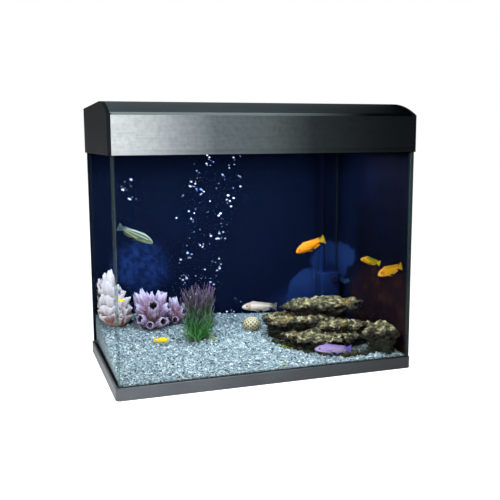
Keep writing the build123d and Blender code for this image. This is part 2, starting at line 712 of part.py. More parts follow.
lid_half = cheek_inner - panel_gap
lid_back_y = hinge_y - knuckle - 1.5
lip_bottom = fascia_top - 1 + 0.5
with BuildPart() as feeding_lid:
    with BuildSketch(side_plane.offset(-lid_half)):
        add(roof_outline(0, bottom_drop=panel))
        make_face()
        with Locations(((lid_front_y + lid_back_y) / 2, crown_z)):
            Rectangle(lid_back_y - lid_front_y, 200, mode=Mode.INTERSECT)
    extrude(amount=2 * lid_half)
    # front lip, turned down behind the sill, and the finger grip in its middle
    with BuildSketch(side_plane.offset(-lid_half)):
        add(roof_outline(0, bottom_z=lip_bottom))
        make_face()
        with Locations((lid_front_y + lid_lip / 2, crown_z)):
            Rectangle(lid_lip, 200, mode=Mode.INTERSECT)
    extrude(amount=2 * lid_half)
    with BuildSketch(Plane.XY.offset(lip_bottom)):
        Polygon((-grip_width / 2, lid_front_y + 1), (-grip_width / 2 + 5, lid_front_y - grip_reach),
                (grip_width / 2 - 5, lid_front_y - grip_reach), (grip_width / 2, lid_front_y + 1), align=None)
    extrude(amount=2.2)
    # knuckles at the back edge, on both sides of each frame knuckle
    for station in hinge_stations:
        for side in (-1, 1):
            centre = station + side * (knuckle_length + knuckle_gap)
            with BuildSketch(side_plane.offset(centre - knuckle_length / 2)):
                with Locations((hinge_y, hinge_z)):
                    Circle(knuckle)
                Polygon((lid_back_y - 3, hinge_z + 2), (lid_back_y - 3, hinge_z + knuckle),
                        (hinge_y, hinge_z + knuckle), (hinge_y, hinge_z + 2), align=None)
                with Locations((hinge_y, hinge_z)):
                    Circle(pin_radius + running_gap, mode=Mode.SUBTRACT)
            extrude(amount=knuckle_length)
finish(feeding_lid, "feeding_lid")

vent_count = 9
with BuildPart() as rear_cover:
    with BuildSketch(side_plane.offset(-lid_half)):
        add(roof_outline(0, bottom_drop=panel))
        make_face()
        with Locations(((bridge_back + back_wall_inner) / 2, crown_z)):
            Rectangle(back_wall_inner - bridge_back - 2 * panel_gap, 200, mode=Mode.INTERSECT)
    extrude(amount=2 * lid_half)
    with BuildSketch(Plane.XY.offset(crown_z)):
        with Locations((0, back_wall_inner - 16)):
            with GridLocations(56, 0, vent_count, 1):
                SlotOverall(40, 3.2)
    extrude(amount=-20, mode=Mode.SUBTRACT)
finish(rear_cover, "rear_cover")

# ---------------------------------------------------------------- lighting
reflector_mid = (reflector_front + reflector_back) / 2
reflector_half = cavity_half - fit_gap
with BuildPart() as lamp_reflector:
    with BuildSketch(side_plane.offset(-reflector_half)):
        Polygon((reflector_front, deck_top), (reflector_front, reflector_top), (reflector_back, reflector_top),
                (reflector_back, deck_top), align=None)
        Polygon((reflector_front + sheet, deck_top), (reflector_front + sheet, reflector_top - sheet),
                (reflector_back - sheet, reflector_top - sheet), (reflector_back - sheet, deck_top),
                align=None, mode=Mode.SUBTRACT)
        Polygon((reflector_front - flange, deck_top), (reflector_front, deck_top),
                (reflector_front, deck_top + sheet), (reflector_front - flange, deck_top + sheet), align=None)
    extrude(amount=2 * reflector_half)
finish(lamp_reflector, "lamp_reflector")

lamp_cover = block((-reflector_half, reflector_half),
                   (reflector_front + sheet + 0.2, reflector_back - sheet - 0.2),
                   (deck_top, deck_top + lamp_cover_thickness))
finish(lamp_cover, "lamp_cover")

lamp_rows = (reflector_mid - lamp_pitch / 2, reflector_mid + lamp_pitch / 2)
glass_half = tube_length / 2 - cap_length
pin_length = 7.0
pin_offset = 6.35
with BuildPart() as lamp_tubes:
    for row in lamp_rows:
        with BuildSketch(side_plane.offset(-glass_half)):
            with Locations((row, lamp_axis_z)):
                Circle(tube_radius)
        extrude(amount=2 * glass_half)
finish(lamp_tubes, "lamp_tubes")

with BuildPart() as lamp_end_caps:
    for row in lamp_rows:
        for side in (-1, 1):
            with BuildSketch(side_plane.offset(side * glass_half)):
                with Locations((row, lamp_axis_z)):
                    Circle(cap_radius)
            extrude(amount=side * cap_length)
            with BuildSketch(side_plane.offset(side * tube_length / 2)):
                with Locations((row - pin_offset, lamp_axis_z), (row + pin_offset, lamp_axis_z)):
                    Circle(1.2)
            extrude(amount=side * pin_length)
finish(lamp_end_caps, "lamp_end_caps")

with BuildPart() as lamp_holders:
    for row in lamp_rows:
        for side in (-1, 1):
            with BuildSketch(side_plane.offset(side * tube_length / 2)):
                Polygon((row - 12, lamp_axis_z - 12), (row + 12, lamp_axis_z - 12),
                        (row + 12, reflector_top - sheet), (row - 12, reflector_top - sheet), align=None)
                with Locations((row - pin_offset, lamp_axis_z), (row + pin_offset, lamp_axis_z)):
                    Circle(1.2 + running_gap, mode=Mode.SUBTRACT)
            extrude(amount=side * holder)
finish(lamp_holders, "lamp_holders")

ballast_x = (164.0, 236.0)
ballast_y = (bridge_back + 6, bridge_back + 52)
with BuildPart() as ballast_box:
    with BuildSketch(Plane.XY.offset(deck_top)):
        with Locations((sum(ballast_x) / 2, sum(ballast_y) / 2)):
            RectangleRounded(ballast_x[1] - ballast_x[0], ballast_y[1] - ballast_y[0], 3)
    extrude(amount=34)
    fillet(ballast_box.edges().group_by(Axis.Z)[-1], 1.5)
finish(ballast_box, "ballast_box")

# ---------------------------------------------------------------- switch and cable glands
switch_face = half_d - 1.2
rocker_axis_y = switch_face - 5
rocker_width = 20.0
rocker_height = 13.0
rocker_pin = 1.5
with BuildPart() as switch_housing:
    with BuildSketch(Plane.XZ.offset(-switch_face)):
        with Locations((switch_x, switch_z)):
            Rectangle(switch_width, switch_height)
    extrude(amount=14)
    with BuildSketch(Plane.XZ.offset(-switch_face)):
        with Locations((switch_x, switch_z)):
            Rectangle(rocker_width + 1, rocker_height + 4)
    extrude(amount=11.5, mode=Mode.SUBTRACT)
    with BuildSketch(side_plane.offset(switch_x - rocker_width / 2 - 3)):
        with Locations((rocker_axis_y, switch_z)):
            Circle(rocker_pin + running_gap)
    extrude(amount=rocker_width + 6, mode=Mode.SUBTRACT)
finish(switch_housing, "switch_housing")

with BuildPart() as light_switch:
    with BuildSketch(side_plane.offset(switch_x - rocker_width / 2)):
        Polygon((switch_face - 1.4, switch_z - rocker_height / 2), (switch_face - 0.2, switch_z),
                (switch_face + 1.0, switch_z + rocker_height / 2),
                (switch_face - 4.5, switch_z + rocker_height / 2), (rocker_axis_y - 3, switch_z + 3),
                (rocker_axis_y - 3, switch_z - 3), (switch_face - 4.5, switch_z - rocker_height / 2), align=None)
    extrude(amount=rocker_width)
    with BuildSketch(side_plane.offset(switch_x - rocker_width / 2 - 2.5)):
        with Locations((rocker_axis_y, switch_z)):
            Circle(rocker_pin)
    extrude(amount=rocker_width + 5)
finish(light_switch, "light_switch")

with BuildPart() as cable_glands:
    for x in gland_x:
        with BuildSketch(Plane.XZ.offset(-half_d)):
            with Locations((x, gland_z)):
                Circle(gland_radius - running_gap)
        extrude(amount=hood_wall)
        with BuildSketch(Plane.XZ.offset(-back_wall_inner)):
            with Locations((x, gland_z)):
                Circle(gland_radius + 2)
        extrude(amount=3)
        with BuildSketch(Plane.XZ.offset(-half_d)):
            with Locations((x, gland_z)):
                Circle(gland_bore)
        extrude(amount=3 * hood_wall, mode=Mode.SUBTRACT)
finish(cable_glands, "cable_glands")

# ---------------------------------------------------------------- filter tray
slot_pitch = 14.0
cradle_places = (tray_left + 14, tray_right - 14)
with BuildPart() as filter_tray:
    with BuildSketch(Plane.XY.offset(tray_bottom)):
        with Locations(((tray_left + tray_right) / 2, (tray_front + tray_back) / 2)):
            Rectangle(tray_right - tray_left, tray_back - tray_front)
    extrude(amount=tray_top - tray_bottom)
    with BuildSketch(Plane.XY.offset(deck_top)):
        with Locations(((tray_left + tray_right) / 2, (tray_front + tray_back) / 2)):
            Rectangle(tray_right - tray_left + 2 * tray_rim, tray_back - tray_front + 2 * tray_rim)
    extrude(amount=tray_wall)
    for low_x, high_x in ((tray_left + tray_wall, partition_x - tray_wall / 2),
                          (partition_x + tray_wall / 2, tray_right - tray_wall)):
        with BuildSketch(Plane.XY.offset(tray_bottom + tray_wall)):
            with Locations(((low_x + high_x) / 2, (tray_front + tray_back) / 2)):
                Rectangle(high_x - low_x, tray_back - tray_front - 2 * tray_wall)
        extrude(amount=tray_top - tray_bottom, mode=Mode.SUBTRACT)
        slots = int((high_x - low_x - slot_pitch) // slot_pitch)
        with BuildSketch(Plane.XY.offset(tray_bottom)):
            with Locations(((low_x + high_x) / 2, (tray_front + tray_back) / 2)):
                with GridLocations(slot_pitch, 0, slots, 1):
                    SlotOverall(tray_back - tray_front - 20, 3, rotation=90)
        extrude(amount=tray_wall, mode=Mode.SUBTRACT)
    for x in cradle_places:
        with BuildSketch(side_plane.offset(x - 2)):
            Polygon((pump_y - 9, tray_bottom + tray_wall), (tray_back - tray_wall, tray_bottom + tray_wall),
                    (tray_back - tray_wall, spray_z - 2), (pump_y - 9, spray_z - 2), align=None)
            with Locations((pump_y, spray_z)):
                Circle(spray_radius + 0.3, mode=Mode.SUBTRACT)
        extrude(amount=4)
finish(filter_tray, "filter_tray")

sponge_bottom = tray_bottom + tray_wall
sponge_height = 30.0
pack_gap = 1.0
filter_sponge = block((cradle_places[0] + 2 + pack_gap, partition_x - tray_wall / 2 - pack_gap),
                      (tray_front + tray_wall + pack_gap, tray_back - tray_wall - pack_gap),
                      (sponge_bottom, sponge_bottom + sponge_height))
finish(filter_sponge, "filter_sponge")

with BuildPart() as media_bag:
    bag_low = partition_x + tray_wall / 2 + pack_gap
    bag_high = cradle_places[1] - 2 - pack_gap
    with BuildSketch(Plane.XY.offset(sponge_bottom)):
        with Locations(((bag_low + bag_high) / 2, (tray_front + tray_back) / 2)):
            RectangleRounded(bag_high - bag_low, tray_back - tray_front - 2 * tray_wall - 2 * pack_gap, 10)
    extrude(amount=24)
    fillet(media_bag.edges().group_by(Axis.Z)[-1], 7)
finish(media_bag, "media_bag")

# ---------------------------------------------------------------- spray bar and elbow
elbow_reach = 34.0
elbow_lap = 14.0
bar_right = duct_x - elbow_reach + elbow_lap
bar_left = tray_left + 8
with BuildPart() as pipe_elbow:
    with Locations((duct_x, pump_y, riser_top - 14)):
        Cylinder(elbow_outer, spray_z + elbow_outer - riser_top + 14, align=bottom_align)
    fillet(pipe_elbow.edges().group_by(Axis.Z)[-1], 4)
    with BuildSketch(side_plane.offset(duct_x - elbow_reach)):
        with Locations((pump_y, spray_z)):
            Circle(spray_radius + 2)
    extrude(amount=elbow_reach)
    with Locations((duct_x, pump_y, riser_top - 14)):
        Cylinder(riser_radius + socket_gap, 14.5, align=bottom_align, mode=Mode.SUBTRACT)
        Cylinder(riser_radius - riser_wall, spray_z - riser_top + 18, align=bottom_align, mode=Mode.SUBTRACT)
    with BuildSketch(side_plane.offset(duct_x - elbow_reach)):
        with Locations((pump_y, spray_z)):
            Circle(spray_radius + running_gap)
    extrude(amount=elbow_lap, mode=Mode.SUBTRACT)
    with BuildSketch(side_plane.offset(duct_x - elbow_reach)):
        with Locations((pump_y, spray_z)):
            Circle(spray_radius - riser_wall)
    extrude(amount=elbow_reach, mode=Mode.SUBTRACT)
finish(pipe_elbow, "pipe_elbow")

spray_holes = 18
with BuildPart() as spray_bar:
    with BuildSketch(side_plane.offset(bar_left)):
        with Locations((pump_y, spray_z)):
            Circle(spray_radius)
    extrude(amount=bar_right - bar_left)
    with BuildSketch(side_plane.offset(bar_left + 3)):
        with Locations((pump_y, spray_z)):
            Circle(spray_radius - riser_wall)
    extrude(amount=bar_right - bar_left, mode=Mode.SUBTRACT)
    with BuildSketch(Plane.XY.offset(spray_z)):
        with Locations(((tray_left + tray_right) / 2, pump_y)):
            with GridLocations((tray_right - tray_left - 60) / spray_holes, 0, spray_holes, 1):
                Circle(1.5)
    extrude(amount=-2 * spray_radius, mode=Mode.SUBTRACT)
finish(spray_bar, "spray_bar")
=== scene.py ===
# %% [markdown]
# # A hooded glass aquarium
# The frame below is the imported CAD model: the glass tank, its tray base, the hood with its
# lamps and filter, and plain stand-ins for the gravel, rocks, ornaments and fish. This script
# keeps every hard part where it is and gives it a finish, and models the living and broken
# things, which have no straight edges, as new pieces in the same frame. Lengths are in metres.

# %% The frame
import math
import random

import bmesh
import bpy
from mathutils import Matrix, Vector, noise


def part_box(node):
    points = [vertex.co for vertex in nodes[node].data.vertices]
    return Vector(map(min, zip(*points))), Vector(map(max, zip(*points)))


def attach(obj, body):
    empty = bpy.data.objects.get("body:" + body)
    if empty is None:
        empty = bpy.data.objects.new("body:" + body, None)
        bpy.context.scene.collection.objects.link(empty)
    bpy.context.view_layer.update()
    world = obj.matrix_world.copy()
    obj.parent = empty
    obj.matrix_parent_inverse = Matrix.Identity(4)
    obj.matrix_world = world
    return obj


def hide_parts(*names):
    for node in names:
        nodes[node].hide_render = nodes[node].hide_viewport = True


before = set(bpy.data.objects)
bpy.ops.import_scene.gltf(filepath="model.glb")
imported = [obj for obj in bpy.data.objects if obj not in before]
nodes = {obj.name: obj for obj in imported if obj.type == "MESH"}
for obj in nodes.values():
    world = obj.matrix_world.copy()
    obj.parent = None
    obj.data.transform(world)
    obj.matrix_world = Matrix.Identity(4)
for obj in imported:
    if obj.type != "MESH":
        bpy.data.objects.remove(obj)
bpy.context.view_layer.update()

# %% [markdown]
# ## Camera
# The camera stands a little to the left of the tank and looks slightly down, as a person does
# who shows both the front pane and the left one. It is turned about the vertical, tipped down
# and rolled by a hair, so its matrix is three turns and one shift.

# %% Camera
lens_mm = 53.33
camera_place = Vector((-0.4958, -1.5032, 0.4804))
camera_yaw, camera_pitch, camera_roll = (math.radians(a) for a in (18.73, 8.548, -0.309))

camera_data = bpy.data.cameras.new("viewer")
camera_data.lens = lens_mm
camera = bpy.data.objects.new("viewer", camera_data)
bpy.context.scene.collection.objects.link(camera)
camera.matrix_world = (Matrix.Translation(camera_place) @ Matrix.Rotation(-camera_yaw, 4, "Z")
                       @ Matrix.Rotation(math.pi / 2 - camera_pitch, 4, "X")
                       @ Matrix.Rotation(camera_roll, 4, "Z"))
bpy.context.scene.camera = camera
print("camera looks along", tuple(round(v, 3) for v in -camera.matrix_world.col[2].xyz))

# %% [markdown]
# ## Helpers for shader nodes
# A material is a small graph. These helpers add one node each and accept a number, a colour or
# another node's output for any socket, so that a finish below reads like a recipe. Colours are
# given as they look on a screen, from 0 to 255, and turned into the linear ones a shader wants.

# %% Shader helpers
def connect(tree, socket, value):
    """Links an output to a socket, or sets the socket's own value."""
    if isinstance(value, bpy.types.NodeSocket):
        tree.links.new(value, socket)
    else:
        socket.default_value = value


def add(tree, kind, **values):
    """Adds a shader node and fills its sockets and settings by name."""
    made = tree.nodes.new("ShaderNode" + kind)
    for name, value in values.items():
        socket = made.inputs.get(name.replace("_", " "))
        if socket is None:
            setattr(made, name, value)
        else:
            connect(tree, socket, value)
    return made


def maths(tree, operation, *values):
    """One arithmetic step between outputs and numbers."""
    made = add(tree, "Math", operation=operation)
    for socket, value in zip(made.inputs, values):
        connect(tree, socket, value)
    return made.outputs[0]


def times(tree, first, second):
    """Two values multiplied, which is also how one mask cuts another."""
    return maths(tree, "MULTIPLY", first, second)


def between(tree, value, low, high):
    """0 below low, 1 above high, and a smooth step in between; low may be the larger."""
    made = add(tree, "MapRange", interpolation_type="SMOOTHSTEP")
    for socket, given in zip(made.inputs, (value, low, high, 0.0, 1.0)):
        connect(tree, socket, given)
    return made.outputs[0]


def rgb(red, green, blue):
    """A screen colour from 0 to 255 as the linear colour that a shader wants."""
    parts = [c / 255 for c in (red, green, blue)]
    return tuple(c / 12.92 if c <= 0.04045 else ((c + 0.055) / 1.055) ** 2.4 for c in parts) + (1.0,)


print("middle grey is", round(rgb(128, 128, 128)[0], 3), "of full light")

# %% Colour helpers
def mixed(tree, share, first, second, blend="MIX"):
    """Two colours mixed by a share from 0 to 1."""
    made = tree.nodes.new("ShaderNodeMix")
    made.data_type = "RGBA"
    made.blend_type = blend
    factor, first_colour, second_colour = (made.inputs[index] for index in (0, 6, 7))
    for socket, value in ((factor, share), (first_colour, first), (second_colour, second)):
        connect(tree, socket, value)
    return made.outputs[2]


def tinted(tree, base, mask, strength, tint):
    """A colour with a tint laid over it where a mask is bright, at most by a strength."""
    return mixed(tree, times(tree, mask, strength), base, tint)


def shaded(tree, colour, shade):
    """A colour darkened or lit by another one, channel by channel."""
    return mixed(tree, 1.0, colour, shade, blend="MULTIPLY")


def ramp(tree, value, stops):
    """A colour ramp; stops are (place, colour)."""
    made = add(tree, "ValToRGB", Fac=value)
    points = made.color_ramp.elements
    while len(points) < len(stops):
        points.new(0.5)
    for point, (place, colour) in zip(points, stops):
        point.position = place
        point.color = colour
    return made.outputs[0]


# %% Pattern helpers
def place_in(tree, stretch=(1, 1, 1)):
    """Object coordinates in metres, stretched for a pattern."""
    where = add(tree, "TexCoord").outputs["Object"]
    return add(tree, "Mapping", Vector=where, Scale=stretch).outputs[0]


def axes(tree):
    """A point's own X, Y and Z in metres."""
    return add(tree, "SeparateXYZ", Vector=place_in(tree)).outputs


def cloud(tree, scale, detail=4.0, roughness=0.5, stretch=(1, 1, 1)):
    """A noise value around 0.5 with features of about 1 / scale metres."""
    return add(tree, "TexNoise", Vector=place_in(tree, stretch), Scale=scale, Detail=detail,
               Roughness=roughness).outputs["Fac"]


def cells(tree, scale, stretch=(1, 1, 1)):
    """A pattern of cells, 1 / scale metres across, each with a colour of its own."""
    return add(tree, "TexVoronoi", Vector=place_in(tree, stretch), Scale=scale).outputs


# %% Material helpers
def new_material(name, roughness=0.5, metallic=0.0, specular=0.5):
    """A material with one Principled shader, its node tree and that shader."""
    material = bpy.data.materials.new(name)
    material.use_nodes = True
    tree = material.node_tree
    shader = tree.nodes["Principled BSDF"]
    shader.inputs["Roughness"].default_value = roughness
    shader.inputs["Metallic"].default_value = metallic
    shader.inputs["Specular IOR Level"].default_value = specular
    return material, tree, shader


def paint(tree, shader, colour):
    """Sets a shader's colour, or what feeds it."""
    connect(tree, shader.inputs["Base Color"], colour)


def opened(material):
    """A finished material's tree and shader, and the output that feeds its colour."""
    tree = material.node_tree
    shader = tree.nodes["Principled BSDF"]
    return tree, shader, shader.inputs["Base Color"].links[0].from_socket


def glow(shader, colour, strength):
    """Gives a shader light of its own."""
    shader.inputs["Emission Color"].default_value = colour
    shader.inputs["Emission Strength"].default_value = strength


def relief(tree, shader, height, strength, distance):
    """Fine relief on a shader's normal; distance is the height of the relief in metres."""
    bump = add(tree, "Bump", Height=height, Strength=strength, Distance=distance)
    tree.links.new(bump.outputs[0], shader.inputs["Normal"])


def set_finish(material, *names):
    """Gives CAD nodes a finish through their own material slots."""
    for name in names:
        slots = nodes[name].material_slots
        if not slots:
            nodes[name].data.materials.append(material)
        for slot in slots:
            slot.material = material
    print(material.name, "on", ", ".join(names))


# %% [markdown]
# ## Moulded plastic
# The hood, the base, the pump and the filter tray are injection moulded. Such plastic has one
# colour, but its eroded mould leaves a fine grain, and its gloss wanders a little where hands
# have polished it or dust has settled. So the grain goes into the relief, and a slow noise
# moves both the colour and the roughness by a few percent.

# %% Moulded plastic
dust = (0.5, 0.52, 0.54, 1.0)


def moulded_plastic(name, colour, roughness, grain=1500.0, grain_height=0.00012, drift=0.16, specular=0.5):
    """Satin plastic with mould grain."""
    material, tree, shader = new_material(name, specular=specular)
    slow = cloud(tree, 9.0, 5.0, 0.6)
    fine = cloud(tree, grain, 2.0, 0.6)
    darker = tuple(c * (1 - drift) for c in colour[:3]) + (1.0,)
    lighter = tuple(min(1.0, c * (1 + drift)) for c in colour[:3]) + (1.0,)
    base = mixed(tree, between(tree, slow, 0.3, 0.7), darker, lighter)
    speck = between(tree, cloud(tree, grain * 0.4, 1.0), 0.62, 0.75)
    paint(tree, shader, tinted(tree, base, speck, 0.03, dust))
    wander = 0.16
    connect(tree, shader.inputs["Roughness"],
            maths(tree, "ADD", times(tree, slow, wander), roughness - wander / 2))
    relief(tree, shader, fine, 0.35, grain_height)
    return material


hood_black = moulded_plastic("hood_plastic", rgb(8, 13, 16), 0.58, specular=0.06)
lid_black = moulded_plastic("lid_plastic", rgb(30, 43, 48), 0.34, specular=0.3)
base_grey = moulded_plastic("base_plastic", rgb(50, 53, 57), 0.5, specular=0.25)
equipment_black = moulded_plastic("equipment_plastic", rgb(26, 27, 30), 0.4)
pump_dark = moulded_plastic("pump_plastic", rgb(1, 3, 14), 0.85, specular=0.0)
dial_grey = moulded_plastic("dial_plastic", rgb(8, 16, 42), 0.6, specular=0.08)
lamp_white = moulded_plastic("lamp_holder_plastic", rgb(222, 222, 216), 0.35, drift=0.04)
enamel_white = moulded_plastic("ballast_enamel", rgb(214, 216, 218), 0.3, grain=700.0, drift=0.04)
rocker_gloss = moulded_plastic("rocker_plastic", rgb(24, 25, 28), 0.2, grain=3000.0, grain_height=0.00003)
rubber = moulded_plastic("rubber", rgb(20, 20, 21), 0.7, grain=900.0, specular=0.3)

set_finish(hood_black, "hood_frame", "rear_cover")
set_finish(pump_dark, "pump_body", "pump_cover", "intake_strainer", "riser_pipe", "pipe_elbow", "impeller")
set_finish(equipment_black, "spray_bar", "filter_tray", "switch_housing")
set_finish(dial_grey, "flow_dial")
set_finish(lamp_white, "lamp_holders")
set_finish(enamel_white, "ballast_box")
set_finish(rocker_gloss, "light_switch")
set_finish(rubber, "suction_cups", "cable_glands", "foam_mat")

# %% [markdown]
# The base needs one thing more: painted light. It is painted paler at its left end, where more
# light falls, and darker at its right end, where it is in shade. A point's X tells how far along
# the base it is, and a ramp turns that into a factor on the colour.

# %% Painted light on the base
base_tree, base_shader, base_tone = opened(base_grey)
# Painted light and shade: a factor above one at the left end and below one at the right.
painted_base_falloff = ramp(base_tree, between(base_tree, axes(base_tree)["X"], -0.34, 0.34),
             [(0.0, (2.3, 2.3, 2.25, 1.0)), (0.4, (1.35, 1.35, 1.35, 1.0)), (1.0, (0.36, 0.40, 0.40, 1.0))])
paint(base_tree, base_shader, shaded(base_tree, base_tone, painted_base_falloff))
set_finish(base_grey, "base_frame")

# %% [markdown]
# The lid has a painted highlight along its lower front edge, a bright line as if the lip caught
# the light, and painted shade in the gap under it. Both are found by their height over the lid's
# lower edge. Its colour carries a painted sheen that fades to the right, where the room is darker,
# and its gloss fades the same way.

# %% The lid's painted edge highlight and gap shade
lid_tree, lid_shader, lid_tone = opened(lid_black)
lid_parts = axes(lid_tree)
lid_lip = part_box("feeding_lid")[0].z
# Painted highlight: a bright line along the lid's lower front edge, strongest at the left.
edge_highlight_left = times(lid_tree, between(lid_tree, lid_parts["Z"], lid_lip + 0.0064, lid_lip + 0.0054),
                     between(lid_tree, lid_parts["X"], 0.22, -0.05))
painted_edge_highlight = times(lid_tree, edge_highlight_left, between(lid_tree, lid_parts["Y"], -0.150, -0.158))
# Painted sheen: the lid's colour is lit at the left and falls off to near black at the right.
painted_lid_sheen = ramp(lid_tree, between(lid_tree, lid_parts["X"], -0.30, 0.30),
                [(0.0, (1.5, 1.5, 1.5, 1.0)), (0.45, (1.0, 1.1, 1.15, 1.0)), (1.0, (0.07, 0.08, 0.09, 1.0))])
lid_tone = shaded(lid_tree, lid_tone, painted_lid_sheen)
# Painted shade in the gap under the lid's edge.
painted_gap_shade = between(lid_tree, lid_parts["Z"], lid_lip + 0.0056, lid_lip + 0.0048)
lid_tone = mixed(lid_tree, painted_gap_shade, lid_tone, rgb(5, 9, 16))
paint(lid_tree, lid_shader, tinted(lid_tree, lid_tone, painted_edge_highlight, 0.6, rgb(150, 164, 166)))
connect(lid_tree, lid_shader.inputs["Specular IOR Level"],
        times(lid_tree, between(lid_tree, lid_parts["X"], 0.30, -0.25), 0.35))
set_finish(lid_black, "feeding_lid")

# %% [markdown]
# ## Metal
# The fascia is a thin aluminium strip with a fine brushed and slightly mottled face. Brushing
# is a noise stretched a hundred times along the strip. The lower edge is rolled, and a band
# along it gets a painted highlight, a little brighter, as if it caught more light. The strip also
# carries a painted reflection, bright at its left end and near black at its right. The end caps
# of the lamps, the reflector and the hinge pins are plain metal with faint drawing marks.

# %% Drawn metal
def drawn_metal(name, colour, roughness, along=(4, 400, 400), metallic=1.0):
    """Metal with marks drawn along one direction."""
    material, tree, shader = new_material(name, metallic=metallic)
    streak = cloud(tree, 3.0, 6.0, 0.7, stretch=along)
    patch = cloud(tree, 95.0, 5.0, 0.7)
    tone = maths(tree, "ADD", times(tree, streak, 0.5), times(tree, patch, 0.5))
    dim = tuple(c * 0.72 for c in colour[:3]) + (1.0,)
    paint(tree, shader, mixed(tree, between(tree, tone, 0.35, 0.62), dim, colour))
    wander = 0.22
    connect(tree, shader.inputs["Roughness"],
            maths(tree, "ADD", times(tree, tone, wander), roughness - wander / 2))
    relief(tree, shader, streak, 0.4, 0.00002)
    return material


set_finish(drawn_metal("reflector_metal", rgb(225, 228, 230), 0.22), "lamp_reflector")
set_finish(drawn_metal("cap_metal", rgb(190, 190, 188), 0.35, along=(4, 60, 60)), "lamp_end_caps")
set_finish(drawn_metal("pin_steel", rgb(170, 170, 172), 0.3), "lid_hinge_pins")
set_finish(drawn_metal("shaft_ceramic", rgb(225, 225, 218), 0.25, metallic=0.0), "pump_shaft")

# %% Fascia
fascia_metal = drawn_metal("fascia_metal", rgb(226, 230, 231), 0.46, metallic=0.45)
fascia_tree, fascia_shader, fascia_tone = opened(fascia_metal)
fascia_parts = axes(fascia_tree)
# Painted highlight: a brighter band along the lower edge of the strip.
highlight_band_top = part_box("hood_fascia")[0].z + 0.0082
painted_band_highlight = between(fascia_tree, fascia_parts["Z"], highlight_band_top + 0.003, highlight_band_top)
fascia_tone = tinted(fascia_tree, fascia_tone, painted_band_highlight, 0.45, rgb(205, 210, 212))
# Painted reflection: the strip's colour is bright at the left end and falls off to near black at the right.
painted_fascia_reflection = ramp(fascia_tree, between(fascia_tree, fascia_parts["X"], -0.32, 0.30), [
    (0.0, (0.72, 0.74, 0.74, 1.0)), (0.12, (0.36, 0.39, 0.41, 1.0)), (0.26, (0.15, 0.175, 0.19, 1.0)),
    (0.5, (0.11, 0.13, 0.135, 1.0)), (0.72, (0.025, 0.032, 0.036, 1.0)), (1.0, (0.004, 0.006, 0.008, 1.0))])
paint(fascia_tree, fascia_shader, shaded(fascia_tree, fascia_tone, painted_fascia_reflection))
fascia_shader.inputs["Specular IOR Level"].default_value = 0.12
set_finish(fascia_metal, "hood_fascia")

# %% [markdown]
# ## Glass
# A pane is two flat faces with nothing but clear glass between, so a ray goes almost straight
# through, and the pane is made as a thin sheet: a clear shader, tinted by a trace of green, and
# a sharp gloss that grows at a grazing angle. The cut ends of the panes are ground and show the
# green of the thickness, so the ends get a milky green finish, found by their place.

# %% Glass finish
pane_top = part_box("glass_left")[1].z
side_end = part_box("glass_left")[1].y - 0.0005
front_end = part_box("glass_front")[1].x - 0.0004
beyond_pane = 1.0


def blended(tree, share, first, second):
    """Two shaders mixed by a share."""
    made = add(tree, "MixShader", Fac=share)
    tree.links.new(first.outputs[0], made.inputs[1])
    tree.links.new(second.outputs[0], made.inputs[2])
    return made


def pane_glass(name, axis, end, front_only=False):
    """Clear glass whose faces beyond `end` along an axis are ground ends."""
    material, tree, shader = new_material(name, roughness=0.25)
    parts = axes(tree)
    reach = times(tree, parts[axis], -1.0) if front_only else maths(tree, "ABSOLUTE", parts[axis])
    off_end = maths(tree, "GREATER_THAN", reach, end)
    off_top = maths(tree, "GREATER_THAN", parts["Z"], pane_top - 0.0005)
    tint = add(tree, "BsdfTransparent", Color=(0.985, 0.995, 0.99, 1.0))
    gloss = add(tree, "BsdfGlossy", Color=(1.0, 1.0, 1.0, 1.0), Roughness=0.03)
    edge_on = maths(tree, "MINIMUM", add(tree, "Fresnel", IOR=1.13).outputs[0], 0.0004)
    streak = cloud(tree, 60.0, 4.0, 0.6, stretch=(1, 1, 0.15))
    paint(tree, shader, mixed(tree, streak, rgb(34, 54, 54), rgb(92, 114, 112)))
    see_through = add(tree, "BsdfTransparent", Color=(0.62, 0.74, 0.72, 1.0))
    whole = blended(tree, maths(tree, "MAXIMUM", off_end, off_top),
                    blended(tree, edge_on, tint, gloss), blended(tree, 0.2, see_through, shader))
    tree.links.new(whole.outputs[0], tree.nodes["Material Output"].inputs["Surface"])
    return material


# %% Panes and silicone
set_finish(pane_glass("side_glass", "Y", side_end, front_only=True), "glass_left", "glass_right")
set_finish(pane_glass("front_glass", "X", front_end), "glass_front")
set_finish(pane_glass("jointed_glass", "X", beyond_pane), "glass_rear", "glass_floor")
set_finish(pane_glass("brace_glass", "Y", 0.0), "glass_braces")
set_finish(pane_glass("cover_glass", "X", front_end), "lamp_cover")

silicone, silicone_tree, silicone_shader = new_material("silicone", roughness=0.3)
paint(silicone_tree, silicone_shader, rgb(60, 84, 96))
silicone_shader.inputs["Alpha"].default_value = 0.035
relief(silicone_tree, silicone_shader, cloud(silicone_tree, 120.0), 0.3, 0.0004)
set_finish(silicone, "silicone_beads")

# %% [markdown]
# ## Backdrop film
# The tank's rear and right panes have a printed film behind them: deep blue water with blurred
# boulders, a blurred bush and a brown reef in the corner. The film is dark on its outer face. A
# print could be an image, but a handful of soft shapes describes this one: each boulder is an
# oval whose edge fades over some millimetres, measured along the film and up it. The same
# "along" runs on round the corner, so the print doesn't break there.

